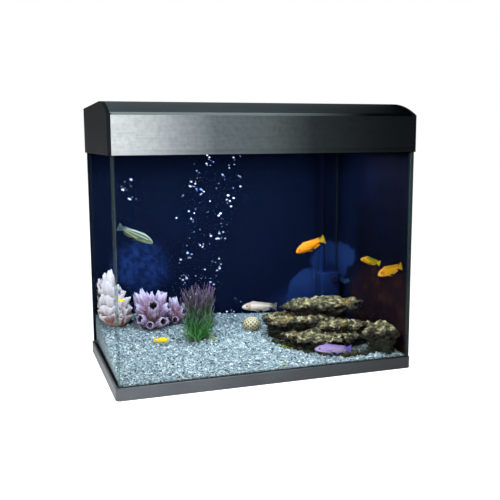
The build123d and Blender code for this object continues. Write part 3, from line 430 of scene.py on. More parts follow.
# %% Shapes of the print
film_corner_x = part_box("backdrop_side")[0].x
film_corner_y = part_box("backdrop_rear")[0].y
film_half_wall = 0.0002
boulders = [  # along, up, half length, half height, blur share, colour
    (0.298, 0.172, 0.062, 0.053, 0.10, rgb(20, 39, 86)),
    (0.342, 0.196, 0.060, 0.029, 0.14, rgb(20, 40, 86)),
    (0.292, 0.140, 0.036, 0.030, 0.70, rgb(9, 22, 58)),
    (0.234, 0.098, 0.064, 0.059, 0.08, rgb(22, 44, 94)),
    (0.215, 0.070, 0.070, 0.036, 0.80, rgb(13, 28, 68)),
    (0.320, 0.080, 0.060, 0.040, 0.60, rgb(3, 9, 32)),
]
bush_oval = (-0.193, 0.188, 0.066, 0.056, 0.34)
reef_oval = (0.55, 0.10, 0.17, 0.10, 0.16)
far_fish_body = (0.336, 0.130, 0.028, 0.0065, 0.25)
far_fish_tail = (0.368, 0.135, 0.009, 0.0045, 0.4)


def soft_oval(tree, along, up, centre_along, centre_up, half_along, half_up, blur):
    """1 inside an oval and 0 outside, with a soft edge."""
    across = maths(tree, "DIVIDE", maths(tree, "SUBTRACT", along, centre_along), half_along)
    rise = maths(tree, "DIVIDE", maths(tree, "SUBTRACT", up, centre_up), half_up)
    reach = maths(tree, "SQRT", maths(tree, "ADD", times(tree, across, across), times(tree, rise, rise)))
    return between(tree, reach, 1.0 + blur, 1.0 - blur)


print("film turns the corner at", round(film_corner_x, 4), "and has", len(boulders), "boulders")

# %% The print
def tufted(tree, oval, pattern):
    """An oval patch whose strength comes and goes with a pattern."""
    return times(tree, oval, maths(tree, "ADD", 0.25, times(tree, pattern, 0.75)))


def underwater_print(tree, along, up):
    """The picture on the film, from a place along it and a height."""
    wobble = times(tree, maths(tree, "SUBTRACT", cloud(tree, 26.0, 4.0, 0.55), 0.5), 0.045)
    bent = maths(tree, "ADD", along, wobble), maths(tree, "ADD", up, wobble)
    water = ramp(tree, times(tree, up, 2.0),
                 [(0.0, rgb(4, 11, 34)), (0.45, rgb(2, 8, 28)), (1.0, rgb(1, 7, 25))])
    dim_right = between(tree, maths(tree, "ADD", along, times(tree, wobble, 2.0)), 0.37, 0.45)
    colour = mixed(tree, dim_right, water, rgb(1, 2, 13))
    smear = between(tree, cloud(tree, 7.0, 3.0, 0.5), 0.5, 0.8)
    colour = tinted(tree, colour, smear, 0.5, rgb(3, 11, 36))
    tufts = between(tree, cloud(tree, 75.0, 3.0, 0.6), 0.38, 0.66)
    colour = mixed(tree, tufted(tree, soft_oval(tree, *bent, *bush_oval), tufts), colour, rgb(17, 35, 82))
    for *oval, tone in boulders:
        colour = tinted(tree, colour, soft_oval(tree, *bent, *oval), 0.85, tone)
    stain = between(tree, cloud(tree, 34.0, 5.0, 0.65), 0.44, 0.7)
    colour = mixed(tree, tufted(tree, soft_oval(tree, *bent, *reef_oval), stain), colour, rgb(38, 20, 16))
    far_fish = maths(tree, "MAXIMUM", soft_oval(tree, along, up, *far_fish_body),
                     soft_oval(tree, along, up, *far_fish_tail))
    return tinted(tree, colour, far_fish, 0.6, rgb(44, 76, 116))


def printed_film(name, round_corner):
    """The film: its print inside, and a dark, slightly creased outer face."""
    material, tree, shader = new_material(name, roughness=0.8, specular=0.02)
    parts = axes(tree)
    if round_corner:
        along = maths(tree, "SUBTRACT", film_corner_x + film_corner_y, parts["Y"])
        back = maths(tree, "GREATER_THAN", parts["X"], film_corner_x + film_half_wall)
    else:
        along = parts["X"]
        back = maths(tree, "GREATER_THAN", parts["Y"], film_corner_y + film_half_wall)
    paint(tree, shader, mixed(tree, back, underwater_print(tree, along, parts["Z"]), rgb(14, 16, 22)))
    connect(tree, shader.inputs["Specular IOR Level"], maths(tree, "MULTIPLY_ADD", back, 0.35, 0.02))
    connect(tree, shader.inputs["Roughness"], maths(tree, "SUBTRACT", 0.8, times(tree, back, 0.38)))
    relief(tree, shader, cloud(tree, 11.0, 6.0, 0.62, stretch=(1, 1, 0.12)), 0.35, 0.0014)
    return material


set_finish(printed_film("backdrop_rear_print", False), "backdrop_rear")
set_finish(printed_film("backdrop_side_print", True), "backdrop_side")

# %% [markdown]
# A film of blue algae has settled on the pump and its riser. It takes the tones of the boulders
# printed behind it, shifted by as much as the pump stands nearer to the viewer than the film
# does, so the pump sinks into the print.

# %% Algae on the pump
pump_tree, pump_shader, pump_tone = opened(pump_dark)
pump_parts = axes(pump_tree)
pump_along = maths(pump_tree, "ADD", pump_parts["X"], 0.0175)
pump_up = maths(pump_tree, "SUBTRACT", pump_parts["Z"], 0.0088)
for *oval, blur, tone in boulders:
    algae_patch = soft_oval(pump_tree, pump_along, pump_up, *oval, blur + 0.06)
    pump_tone = tinted(pump_tree, pump_tone, algae_patch, 0.42, tone)
paint(pump_tree, pump_shader, pump_tone)
print("algae in", len(boulders), "patches on", pump_dark.name)

# %% [markdown]
# ## Board, lamps and air stone
# The tank stands on a board whose grain runs along it, and the lamps are frosted tubes that
# glow. The air stone is sintered grit, so its relief is a coarse grain of small balls.

# %% Board, lamps, air stone
board, board_tree, board_shader = new_material("board", roughness=0.75)
board_grain = cloud(board_tree, 14.0, 8.0, 0.65, stretch=(1, 14, 14))
paint(board_tree, board_shader, mixed(board_tree, board_grain, rgb(120, 92, 60), rgb(176, 142, 98)))
relief(board_tree, board_shader, board_grain, 0.4, 0.0004)
set_finish(board, "base_board")

lamp_glow, lamp_tree, lamp_shader = new_material("lamp_tube_glass", roughness=0.3)
paint(lamp_tree, lamp_shader, (0.9, 0.93, 1.0, 1.0))
glow(lamp_shader, (0.86, 0.93, 1.0, 1.0), 3.0)
relief(lamp_tree, lamp_shader, cloud(lamp_tree, 800.0), 0.2, 0.0001)
set_finish(lamp_glow, "lamp_tubes")

stone, stone_tree, stone_shader = new_material("air_stone_grit", roughness=0.85)
stone_balls = cells(stone_tree, 900.0)["Distance"]
paint(stone_tree, stone_shader, mixed(stone_tree, stone_balls, rgb(116, 128, 138), rgb(58, 66, 76)))
relief(stone_tree, stone_shader, stone_balls, 0.8, 0.0008)
set_finish(stone, "air_stone")

# %% [markdown]
# ## Helpers for new pieces
# A new piece starts as a bmesh, is shaped with operators, and ends as an object at the origin
# with its place in its mesh. It rides on the tank and hides the CAD node that it stands for.
# Numbers stored on a mesh's own points, such as how near the tip a point is, let one material
# colour a whole piece.

# %% Piece helpers
def make_piece(name, shape, materials, replaced=(), body="tank", smooth=True, outward=True):
    """Turns a bmesh into a piece of the object."""
    if outward:
        bmesh.ops.recalc_face_normals(shape, faces=shape.faces)
    mesh = bpy.data.meshes.new(name)
    shape.to_mesh(mesh)
    shape.free()
    for material in materials:
        mesh.materials.append(material)
    mesh.polygons.foreach_set("use_smooth", [smooth] * len(mesh.polygons))
    piece = bpy.data.objects.new(name, mesh)
    bpy.context.scene.collection.objects.link(piece)
    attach(piece, body)
    if replaced:
        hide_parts(*replaced)
    print(name, "has", len(mesh.vertices), "vertices and", len(mesh.polygons), "faces")
    return piece


def mesh_value(tree, name):
    """A number that was stored on the mesh's own points."""
    return add(tree, "Attribute", attribute_name=name).outputs["Fac"]


def with_values(*names):
    """An empty bmesh that can store numbers on its points, and a layer for each of them."""
    shape = bmesh.new()
    for name in names:
        shape.verts.layers.float.new(name)
    return shape, *(shape.verts.layers.float[name] for name in names)


def add_part(whole, part):
    """Joins a part to a bmesh by way of a scrap mesh, and frees it."""
    scrap = bpy.data.meshes.new("scrap")
    part.to_mesh(scrap)
    part.free()
    whole.from_mesh(scrap)
    bpy.data.meshes.remove(scrap)


def open_edges(shape):
    """The edges with a face on one side only."""
    return [edge for edge in shape.edges if edge.is_boundary]


# %% Number helpers
def ease(value, low, high):
    """0 at low, 1 at high, with a smooth step in between."""
    share = min(1.0, max(0.0, (value - low) / (high - low)))
    return share * share * (3 - 2 * share)


def bulge(value, middle, width):
    """1 at the middle, falling off on both sides within a width."""
    return math.exp(-((value - middle) / width) ** 2)


def around(turn, reach=1.0):
    """A flat vector at an angle from the X axis."""
    return Vector((reach * math.cos(turn), reach * math.sin(turn), 0))


def keep_inside(shape, low, high):
    """Brings a piece's points back into the space that its CAD solid holds."""
    for point in shape.verts:
        for axis in range(3):
            point.co[axis] = min(high[axis], max(low[axis], point.co[axis]))


print("half way up a smooth step is", ease(0.5, 0, 1))

# %% [markdown]
# ## Gravel
# The gravel is crushed white and pale blue-grey stone with a few black bits, a few millimetres
# across. Modelling each of the hundred thousand bits would be wasteful, because only the top
# layer shows. So there is a solid bed with a mottled finish, and on it some thousands of loose
# chips: cubes with every corner pushed off its place, which is just how a broken stone looks.

# %% The bed's slope
bed_low, bed_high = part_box("gravel_bed")
front_level, back_left_level, back_right_level = 0.027, 0.086, 0.042


def bed_level(x, y):
    """Height of the gravel, which rises to the back and to the left."""
    across = (x - bed_low.x) / (bed_high.x - bed_low.x)
    back = back_left_level + (back_right_level - back_left_level) * across
    return front_level + (back - front_level) * (y - bed_low.y) / (bed_high.y - bed_low.y)


def heap(x, y):
    """Small rises and dips of the loose surface, none at the glass."""
    inside = min(x - bed_low.x, bed_high.x - x, y - bed_low.y, bed_high.y - y)
    wide = noise.noise(Vector((x * 22, y * 22, 0.3))) * 0.0030
    narrow = noise.noise(Vector((x * 70, y * 70, 4.0))) * 0.0014
    return (wide + narrow) * ease(inside, 0.0, 0.02)


print("gravel is", round(bed_level(0, 0), 3), "high in the middle")

# %% The bed's finish
def painted_shade_at_back(tree, colour):
    """A stone tone with painted shade that deepens toward the rear pane."""
    # Painted shade toward the rear pane.
    shade = ramp(tree, between(tree, axes(tree)["Y"], -0.04, 0.15),
                 [(0.0, (1.0, 1.0, 1.0, 1.0)), (1.0, (0.60, 0.65, 0.70, 1.0))])
    return shaded(tree, colour, shade)


gravel_stone, gravel_tree, gravel_shader = new_material("gravel_stone", roughness=0.7)
grit = cells(gravel_tree, 460.0, stretch=(1, 1, 1.3))
grit_tone = ramp(gravel_tree, add(gravel_tree, "SeparateColor", Color=grit["Color"]).outputs[0], [
    (0.0, rgb(24, 32, 42)), (0.10, rgb(60, 76, 88)), (0.18, rgb(100, 120, 134)), (0.5, rgb(122, 142, 152)),
    (0.8, rgb(152, 170, 178)), (1.0, rgb(198, 208, 212))])
paint(gravel_tree, gravel_shader, painted_shade_at_back(gravel_tree, grit_tone))
relief(gravel_tree, gravel_shader, grit["Distance"], 0.9, 0.003)

# %% The bed's body
under_chips = 0.0006
bed = bmesh.new()
bmesh.ops.create_grid(bed, x_segments=150, y_segments=86, size=0.5)
for point in bed.verts:
    x = bed_low.x + (point.co.x + 0.5) * (bed_high.x - bed_low.x)
    y = bed_low.y + (point.co.y + 0.5) * (bed_high.y - bed_low.y)
    point.co = Vector((x, y, bed_level(x, y) + heap(x, y) - under_chips))
skirt = bmesh.ops.extrude_edge_only(bed, edges=open_edges(bed))["geom"]
for item in skirt:
    if isinstance(item, bmesh.types.BMVert):
        item.co.z = bed_low.z
bmesh.ops.holes_fill(bed, edges=open_edges(bed), sides=0)
make_piece("gravel_bed_body", bed, [gravel_stone], ["gravel_bed"])

# %% Chip helpers
chips = random.Random(31)
handful = 500


def chip_material(name, dark, pale):
    """Broken stone: a tone that changes from bit to bit, and a rough face."""
    material, tree, shader = new_material(name, roughness=0.6)
    tone = mixed(tree, between(tree, cloud(tree, 170.0, 2.0, 0.7), 0.32, 0.68), dark, pale)
    paint(tree, shader, painted_shade_at_back(tree, tone))
    relief(tree, shader, cloud(tree, 1600.0, 3.0), 0.5, 0.0003)
    return material


def drop_chip(part, smallest, largest):
    """One cube with moved corners, turned at random and sunk a little into the bed."""
    x = chips.uniform(bed_low.x + 0.003, bed_high.x - 0.003)
    y = chips.uniform(bed_low.y + 0.002, bed_high.y - 0.003)
    size = chips.uniform(smallest, largest)
    turned = Matrix.Rotation(chips.uniform(0, 6.3), 4, "Z")
    turned = turned @ Matrix.Rotation(chips.uniform(-0.7, 0.7), 4, "X")
    flat = Matrix.Diagonal((1.0, chips.uniform(0.55, 0.95), chips.uniform(0.4, 0.75), 1.0))
    level = bed_level(x, y) + heap(x, y) + size * 0.10
    placed = Matrix.Translation((x, y, level)) @ turned @ flat
    for corner in bmesh.ops.create_cube(part, size=size, matrix=placed)["verts"]:
        corner.co += Vector([chips.uniform(-0.26, 0.26) * size for _ in range(3)])


def scatter_chips(count, smallest, largest):
    """Chips at random all over the bed. Small bmeshes grow much faster than a large one."""
    whole = bmesh.new()
    for dropped in range(0, count, handful):
        part = bmesh.new()
        for _ in range(min(handful, count - dropped)):
            drop_chip(part, smallest, largest)
        add_part(whole, part)
    return whole


# %% Loose chips
chip_kinds = [  # name, count, smallest, largest, material, dark, pale
    ("grey", 8200, 0.0022, 0.0046, "chip_blue_grey", rgb(86, 106, 118), rgb(150, 170, 178)),
    ("white", 3000, 0.0020, 0.0043, "chip_white", rgb(152, 168, 176), rgb(206, 216, 220)),
    ("dark", 950, 0.0020, 0.0042, "chip_dark", rgb(14, 18, 26), rgb(56, 68, 78)),
]
for kind, count, smallest, largest, finish, dark, pale in chip_kinds:
    make_piece("gravel_chips_" + kind, scatter_chips(count, smallest, largest),
               [chip_material(finish, dark, pale)], smooth=False)

# %% [markdown]
# ## Rocks
# The rocks are flat ledges of weathered limestone, piled up: each one has an uneven rim that
# juts out, a hollow under it, and holes worn into its face. Real rock forms by layers that wear
# at different speeds, and the mesh follows that: a fine ball is pressed into a slab, its rim is
# pushed in and out by a noise that is stretched sideways, as layers are, and then roughened.
# What faces up is pale, partly a crust of lime and algae and partly painted light from above;
# what faces down and the pits get painted shade. Both are stored on the mesh, from its normals
# and its pits.

# %% Slab helper
def rock_reach(angle, phase):
    """How far a rock's uneven oval rim stands out at an angle, as a share."""
    return 1 + 0.09 * math.sin(3 * angle + phase) + 0.05 * math.sin(5 * angle + 2 * phase)


def press_slab(slab, centre, half_length, half_width, turn, phase, bottom, top, lip):
    """Presses a ball into a layered slab. Lip is the share of its height where it juts out most."""
    turned = Matrix.Rotation(math.radians(turn), 3, "Z")
    seed = Vector((phase * 7.0, phase * 3.0, phase))
    middle, half = (bottom + top) / 2, (top - bottom) / 2
    for point in slab.verts:
        d = point.co.normalized()
        level = math.copysign(abs(d.z) ** 0.62, d.z)
        out = max(0.0, 1 - abs(level) ** 5.0) ** 0.36 * rock_reach(math.atan2(d.y, d.x), phase)
        flat = max(1e-6, math.hypot(d.x, d.y))
        place = turned @ Vector((d.x / flat * half_length, d.y / flat * half_width, 0)) * out
        x, y, z = place.x, place.y, middle + half * level
        height = (level + 1) / 2
        ledge = 0.86 + 0.17 * bulge(height, lip, 0.16) - 0.13 * bulge(height, lip - 0.40, 0.20)
        layer = noise.fractal(Vector((x * 26, y * 26, z * 105)) + seed, 0.55, 2.1, 5)
        bite = max(0.0, noise.noise(Vector((x * 34, y * 34, z * 46)) + seed * 2) - 0.12)
        share = ledge + (1 - abs(level) ** 3) * (0.20 * layer - 0.70 * bite)
        lumps = noise.fractal(Vector((x * 42, y * 42, 1.7)) + seed, 0.7, 2.0, 5)
        rise = (0.0075 * lumps - 0.0010) * ease(level, -0.2, 0.6)
        point.co = Vector((centre[0] + x * share, centre[1] + y * share, z + rise))
    return seed


rims = [rock_reach(math.radians(angle), 0) for angle in range(360)]
print("a rock's rim waves between", round(min(rims), 2), "and", round(max(rims), 2), "of its half length")

# %% Weathering helper
def weather(slab, crust_and_top_light, painted_rock_shade, seed, bottom, top):
    """Stores crust with painted light on top, and painted shade under ledges and in pits, then roughens."""
    slab.normal_update()
    for point in slab.verts:
        edge = noise.fractal(point.co * 70 + seed, 0.5, 2.0, 3)
        share = (point.co.z - bottom) / (top - bottom)
        # Lime crust with painted light: high on the slab and facing up.
        point[crust_and_top_light] = ease(share + 0.20 * edge, 0.76, 0.95) * ease(point.normal.z + 0.3 * edge, -0.35, 0.35)
        # Painted shade: faces that look down, under the ledges.
        point[painted_rock_shade] = ease(-point.normal.z + 0.35 * edge, -0.40, 0.10)
    for point in slab.verts:
        crumb = noise.fractal(point.co * 120 + seed, 0.5, 2.2, 5)
        pit = max(0.0, noise.noise(point.co * 95 + seed * 3) - 0.18)
        point.co += point.normal * (crumb * 0.0022 - pit * 0.011)
        # Painted shade in the pits too.
        point[painted_rock_shade] = min(1.0, point[painted_rock_shade] + 3.0 * pit)


# %% Rock finish
weed_low, weed_high = 0.034, 0.062
rock_stone, rock_tree, rock_shader = new_material("weathered_rock", roughness=0.85, specular=0.3)
lime = cloud(rock_tree, 95.0, 7.0, 0.72)
spots = cloud(rock_tree, 60.0, 5.0, 0.65)
pale_crust_and_light = ramp(rock_tree, lime, [(0.40, rgb(14, 10, 7)), (0.47, rgb(58, 50, 30)), (0.54, rgb(112, 106, 74)),
                              (0.66, rgb(188, 188, 156))])
brown = ramp(rock_tree, lime, [(0.42, rgb(5, 4, 4)), (0.60, rgb(22, 13, 9)), (0.76, rgb(74, 54, 36))])
# Faces high up and looking up take the pale tone: lime crust and painted light.
rock_tone = mixed(rock_tree, mesh_value(rock_tree, "crust_and_top_light"), brown, pale_crust_and_light)
rock_tone = tinted(rock_tree, rock_tone, between(rock_tree, spots, 0.50, 0.62), 0.35, rgb(64, 74, 44))
ochre = between(rock_tree, cloud(rock_tree, 38.0, 3.0, 0.5), 0.60, 0.70)
rock_tone = tinted(rock_tree, rock_tone, ochre, 0.7, rgb(128, 96, 34))
# Painted shade under the ledges and in the pits.
rock_tone = tinted(rock_tree, rock_tone, mesh_value(rock_tree, "painted_rock_shade"), 0.85, rgb(9, 6, 5))
weed_foot = times(rock_tree, between(rock_tree, axes(rock_tree)["Z"], weed_high, weed_low),
                  between(rock_tree, spots, 0.40, 0.55))
rock_tone = tinted(rock_tree, rock_tone, weed_foot, 0.8, rgb(22, 34, 20))
paint(rock_tree, rock_shader, rock_tone)
relief(rock_tree, rock_shader, cloud(rock_tree, 320.0, 8.0, 0.75), 0.9, 0.0022)
print(rock_stone.name, "is built from", len(rock_tree.nodes), "nodes")

# %% The five rocks
rock_work = {  # centre, half length, half width, turn in degrees, phase, bottom, top, lip
    "rock_foundation": ((0.160, -0.046), 0.106, 0.082, -24, 0.4, 0.016, 0.066, 0.84),
    "rock_left_ledge": ((0.124, 0.000), 0.082, 0.054, -8, 1.9, 0.036, 0.092, 0.86),
    "rock_right_ledge": ((0.206, -0.064), 0.064, 0.040, -14, 3.1, 0.034, 0.084, 0.84),
    "rock_cap": ((0.186, 0.004), 0.088, 0.047, -8, 4.2, 0.054, 0.122, 0.85),
    "side_rock": ((0.263, -0.134), 0.037, 0.034, 0, 5.3, 0.016, 0.088, 0.78),
}
for rock_name, (*plan, bottom, top, lip) in rock_work.items():
    slab, crust_and_top_light_layer, painted_rock_shade_layer = with_values("crust_and_top_light", "painted_rock_shade")
    bmesh.ops.create_icosphere(slab, subdivisions=6, radius=1.0)
    seed = press_slab(slab, *plan, bottom, top, lip)
    weather(slab, crust_and_top_light_layer, painted_rock_shade_layer, seed, bottom, top)
    make_piece(rock_name + "_stone", slab, [rock_stone], [rock_name])

# %% [markdown]
# Crumbs that broke off the pile lie along its front foot, painted dark as the rock's shadow on the
# gravel there. They are small balls pushed about by noise, dropped at random along a line round
# the foot.

# %% Rubble at the foot
rubble_random = random.Random(31)
rubble, crust_and_top_light_layer, painted_rock_shade_layer = with_values("crust_and_top_light", "painted_rock_shade")
foot_line = [(0.060, -0.026), (0.080, -0.062), (0.104, -0.100), (0.138, -0.126), (0.176, -0.138),
             (0.214, -0.142), (0.236, -0.140)]
for step in range(44):
    share = rubble_random.uniform(0, len(foot_line) - 1.001)
    first, second = foot_line[int(share)], foot_line[int(share) + 1]
    x, y = (first[axis] + (second[axis] - first[axis]) * (share % 1) + rubble_random.gauss(0, 0.004)
            for axis in (0, 1))
    size = rubble_random.uniform(0.004, 0.010)
    seed = Vector((step, step * 2.0, 0.5))
    for point in bmesh.ops.create_icosphere(rubble, subdivisions=3, radius=size)["verts"]:
        point.co *= 1 + 0.45 * noise.fractal(point.co / size * 0.9 + seed, 0.6, 2.0, 4)
        # Painted light on each crumb's top, and painted shade over all of it, for the shadow at the foot.
        point[crust_and_top_light_layer] = 0.35 * max(0.0, point.co.z / size)
        point[painted_rock_shade_layer] = 0.4
        point.co = Vector((x + point.co.x * 1.3, y + point.co.y,
                           bed_level(x, y) + 0.1 * size + point.co.z * 0.75))
make_piece("rock_rubble", rubble, [rock_stone], [])

# %% [markdown]
# A few fresh green leaves have caught between the crumbs and in the gravel. A tuft is four small
# strips that narrow to a point and arch up a little.

# %% Leaf scraps
leaves = bmesh.new()
tufts = [(0.0646, -0.0673, 0.004), (0.068, -0.073, 0.003), (0.030, -0.160, 0.002), (-0.070, 0.004, 0.004),
         (0.078, -0.082, 0.003), (-0.073, 0.000, 0.002)]
for x, y, lift in tufts:
    for turn in range(4):
        angle = turn * 1.7 + x * 90
        for point in bmesh.ops.create_grid(leaves, x_segments=2, y_segments=4, size=1.0)["verts"]:
            across, up = point.co.x, (point.co.y + 1) / 2
            flat = around(angle, 0.007 * up)
            flat += around(angle + math.pi / 2, across * 0.0016 * (1 - up) ** 0.5)
            point.co = flat + Vector((x, y, bed_level(x, y) + lift * math.sin(2.2 * up) + 0.001))
bmesh.ops.solidify(leaves, geom=leaves.faces, thickness=0.0004)
leaf_skin, leaf_tree, leaf_shader = new_material("leaf_scrap", roughness=0.5)
paint(leaf_tree, leaf_shader, mixed(leaf_tree, cloud(leaf_tree, 90.0), rgb(60, 120, 20), rgb(190, 180, 20)))
make_piece("leaf_scraps", leaves, [leaf_skin], [], outward=False)

# %% [markdown]
# ## White coral
# The coral at the left is a tuft of thin lobed plates that stand up like the leaves of a
# cabbage, off-white and ribbed, with a stained foot. One plate is a small grid bent into a fan:
# its sides open outwards and curl round, its rim is cut into lobes and its face waves. A thin
# wall is added, and some thirty such plates stand in rings, the outer ones leaning out.

# %% Plate helper
plate_columns, plate_rows = 26, 10


def fan_plate(whole, foot, turn, lean, width, height, seed, ripple, wrap):
    """Adds one lobed plate to a bmesh. Turn is about the vertical and lean is outwards, in radians.
    Wrap is the radius that the plate curls to."""
    part, tips = with_values("tip")
    bmesh.ops.create_grid(part, x_segments=plate_columns, y_segments=plate_rows, size=1.0)
    for point in part.verts:
        across, up = point.co.x, (point.co.y + 1) / 2
        scallop = 1 - abs(math.cos(8 * across + 2 * seed))
        lobes = 1 + (0.04 * math.sin(4 * across + seed) - 0.075 * scallop ** 2) * up
        curl = across * width * (0.34 + 0.66 * up ** 0.6) / wrap
        rise = height * up * (1 - 0.20 * abs(across) ** 3.0 * up) * lobes
        wave = ripple * (math.sin(6.5 * across + seed * 1.7) + 0.16 * math.sin(22 * across)) * up
        bow = 0.08 * height * up * up
        point[tips] = up
        point.co = Vector((wrap * math.sin(curl), wave + bow - wrap * (1 - math.cos(curl)), rise))
    bmesh.ops.solidify(part, geom=part.faces, thickness=0.0016)
    placed = Matrix.Translation(foot) @ Matrix.Rotation(turn, 4, "Z") @ Matrix.Rotation(-lean, 4, "X")
    bmesh.ops.transform(part, matrix=placed, verts=part.verts)
    add_part(whole, part)


print("a plate is a grid of", plate_columns, "by", plate_rows, "faces")

# %% Coral finish
coral_low, coral_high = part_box("white_coral")
coral_white, coral_tree, coral_shader = new_material("coral_lime", roughness=0.8, specular=0.25)
coral_grain = cloud(coral_tree, 420.0, 5.0, 0.7)
coral_tone = ramp(coral_tree, mesh_value(coral_tree, "tip"), [
    (0.0, rgb(92, 72, 48)), (0.25, rgb(150, 136, 122)), (0.6, rgb(172, 164, 164)), (1.0, rgb(200, 198, 212))])
dull_grains = between(coral_tree, coral_grain, 0.56, 0.68)
coral_tone = tinted(coral_tree, coral_tone, dull_grains, 0.35, rgb(150, 138, 132))
stain = between(coral_tree, cloud(coral_tree, 60.0, 2.0), 0.48, 0.58)
low_part = between(coral_tree, axes(coral_tree)["Z"], coral_low.z + 0.050, coral_low.z + 0.020)
coral_tone = tinted(coral_tree, coral_tone, times(coral_tree, stain, low_part), 0.8, rgb(126, 52, 34))
paint(coral_tree, coral_shader, coral_tone)
relief(coral_tree, coral_shader, coral_grain, 0.6, 0.0008)

# %% Coral
coral_middle = (coral_low + coral_high) / 2
coral_ground = bed_level(coral_middle.x, coral_middle.y)
coral_random = random.Random(5)
coral = with_values("tip")[0]
coral_rings = [  # count, way out, lean, height
    (3, 0.006, 0.06, 0.110), (6, 0.013, 0.14, 0.099), (7, 0.017, 0.24, 0.082), (8, 0.019, 0.36, 0.062),
    (9, 0.021, 0.52, 0.041)]
for ring, (count, out, lean, tallest) in enumerate(coral_rings):
    for step in range(count):
        turn = 2 * math.pi * (step + 0.5 * (ring % 2)) / count + coral_random.uniform(-0.2, 0.2)
        foot = (coral_middle.x - 0.011 + 0.0032 * ring - out * math.sin(turn),
                coral_middle.y + out * math.cos(turn), coral_ground + 0.004 - 0.002 * ring)
        width = 0.017 + 0.005 * coral_random.random()
        lower_at_right = 1 - 0.30 * max(0.0, -math.sin(turn))
        height = tallest * coral_random.uniform(0.88, 1.08) * lower_at_right
        fan_plate(coral, foot, turn, lean, width, height, coral_random.uniform(0, 6.3), 0.0036,
                  0.014 + 0.003 * ring)
keep_inside(coral, coral_low + Vector((0.0006, 0, 0)), coral_high)
make_piece("white_coral_plates", coral, [coral_white], ["white_coral"])

# %% [markdown]
# ## Barnacles
# A barnacle is a ribbed cone with a ragged mouth; its inside and the grooves between its ribs
# get painted shade. The cone is a ring of points drawn up and in, ring by ring, whose radius
# waves eleven times round, which makes the ribs. The last rings turn over the mouth and down
# inside. A cluster is a dozen such cones of several sizes that grow in all directions out of one
# foot.

# %% Barnacle helper
barnacle_ribs = 11
# The last column is the painted shade inside the mouth.
barnacle_rings = [  # share of the height, share of the radius, tip, inner
    (0.0, 1.0, 0.0, 0), (0.25, 0.97, 0.25, 0), (0.5, 0.86, 0.5, 0), (0.78, 0.70, 0.8, 0), (1.0, 0.60, 1.0, 0),
    (0.98, 0.52, 0.9, 0.1), (0.80, 0.46, 0.3, 0.9), (0.45, 0.34, 0.1, 1), (0.3, 0.02, 0, 1)]


def grow_ring(part, edges):
    """Draws a ring of edges out by one step, and returns the new points and edges."""
    grown = bmesh.ops.extrude_edge_only(part, edges=edges)["geom"]
    return ([item for item in grown if isinstance(item, bmesh.types.BMVert)],
            [item for item in grown if isinstance(item, bmesh.types.BMEdge)])


def barnacle(whole, foot, direction, radius, height, seed):
    """Adds one ribbed cone to a bmesh."""
    part, tips, painted_inside_shade = with_values("tip", "painted_inside_shade")
    ring = bmesh.ops.create_circle(part, segments=4 * barnacle_ribs, radius=radius)["verts"]
    edges = part.edges[:]
    for rise, reach, tip, inside in barnacle_rings:
        if rise:
            ring, edges = grow_ring(part, edges)
        for point in ring:
            angle = math.atan2(point.co.y, point.co.x)
            wave = math.cos(barnacle_ribs * angle + seed)
            fine = math.cos(2 * barnacle_ribs * angle)
            rib = 1 + 0.085 * wave + 0.04 * fine
            ragged = 1 + (0.07 * math.cos(barnacle_ribs / 2 * angle + seed * 2) + 0.035 * fine) * rise
            point.co = around(angle, radius * reach * rib) + Vector((0, 0, height * rise * ragged))
            # Painted shade in the grooves between the ribs, strongest low on the cone, added to the painted
            # shade inside the mouth.
            painted_groove_shade = 0.55 * max(0.0, -wave) * (1 - 0.7 * rise)
            point[tips], point[painted_inside_shade] = tip, min(1.0, inside + painted_groove_shade)
    bmesh.ops.holes_fill(part, edges=open_edges(part), sides=0)
    turned = Vector(direction).to_track_quat("Z", "Y").to_matrix().to_4x4()
    bmesh.ops.transform(part, matrix=Matrix.Translation(foot) @ turned, verts=part.verts)
    add_part(whole, part)


print("a barnacle has", barnacle_ribs, "ribs and", len(barnacle_rings), "rings")

# %% Barnacle finish
shell_lilac, shell_tree, shell_shader = new_material("barnacle_shell", roughness=0.6, specular=0.35)
shell_stripe = cloud(shell_tree, 260.0, 4.0, 0.6, stretch=(1, 1, 0.3))
shell_tone = ramp(shell_tree, mesh_value(shell_tree, "tip"), [
    (0.0, rgb(42, 24, 22)), (0.35, rgb(86, 54, 66)), (0.7, rgb(110, 90, 122)), (1.0, rgb(168, 164, 198))])
shell_tone = mixed(shell_tree, between(shell_tree, shell_stripe, 0.52, 0.68), shell_tone, rgb(142, 132, 162))
# Painted shade inside the mouth and in the grooves between the ribs.
shell_tone = mixed(shell_tree, mesh_value(shell_tree, "painted_inside_shade"), shell_tone, rgb(34, 14, 12))
paint(shell_tree, shell_shader, shell_tone)
relief(shell_tree, shell_shader, shell_stripe, 0.5, 0.0006)
print(shell_lilac.name, "is built from", len(shell_tree.nodes), "nodes")

# %% Cluster helper
def barnacle_cluster(name, node, cones, ruffle):
    """Cones out of one foot, with a ruffle of small plates round it. Each cone is (turn in degrees,
    lean in degrees, radius, height, way out, lift)."""
    low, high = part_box(node)
    x, y = (low.x + high.x) / 2, (low.y + high.y) / 2
    foot = Vector((x, y, bed_level(x, y)))
    whole = with_values("tip", "painted_inside_shade")[0]
    for number, (turn, lean, radius, height, out, lift) in enumerate(cones):
        turn, lean = math.radians(turn), math.radians(lean)
        root = foot + around(turn, out) + Vector((0, 0, lift))
        direction = around(turn, math.sin(lean)) + Vector((0, 0, math.cos(lean)))
        barnacle(whole, root, direction, radius, height, number * 1.3)
    for step in range(ruffle):
        turn = 2 * math.pi * step / ruffle
        fan_plate(whole, foot + around(turn, 0.010) + Vector((0, 0, 0.001)), turn - math.pi / 2, 1.1,
                  0.011, 0.022, step * 2.1, 0.002, 0.020)
    keep_inside(whole, low, high)
    make_piece(name, whole, [shell_lilac], [node])


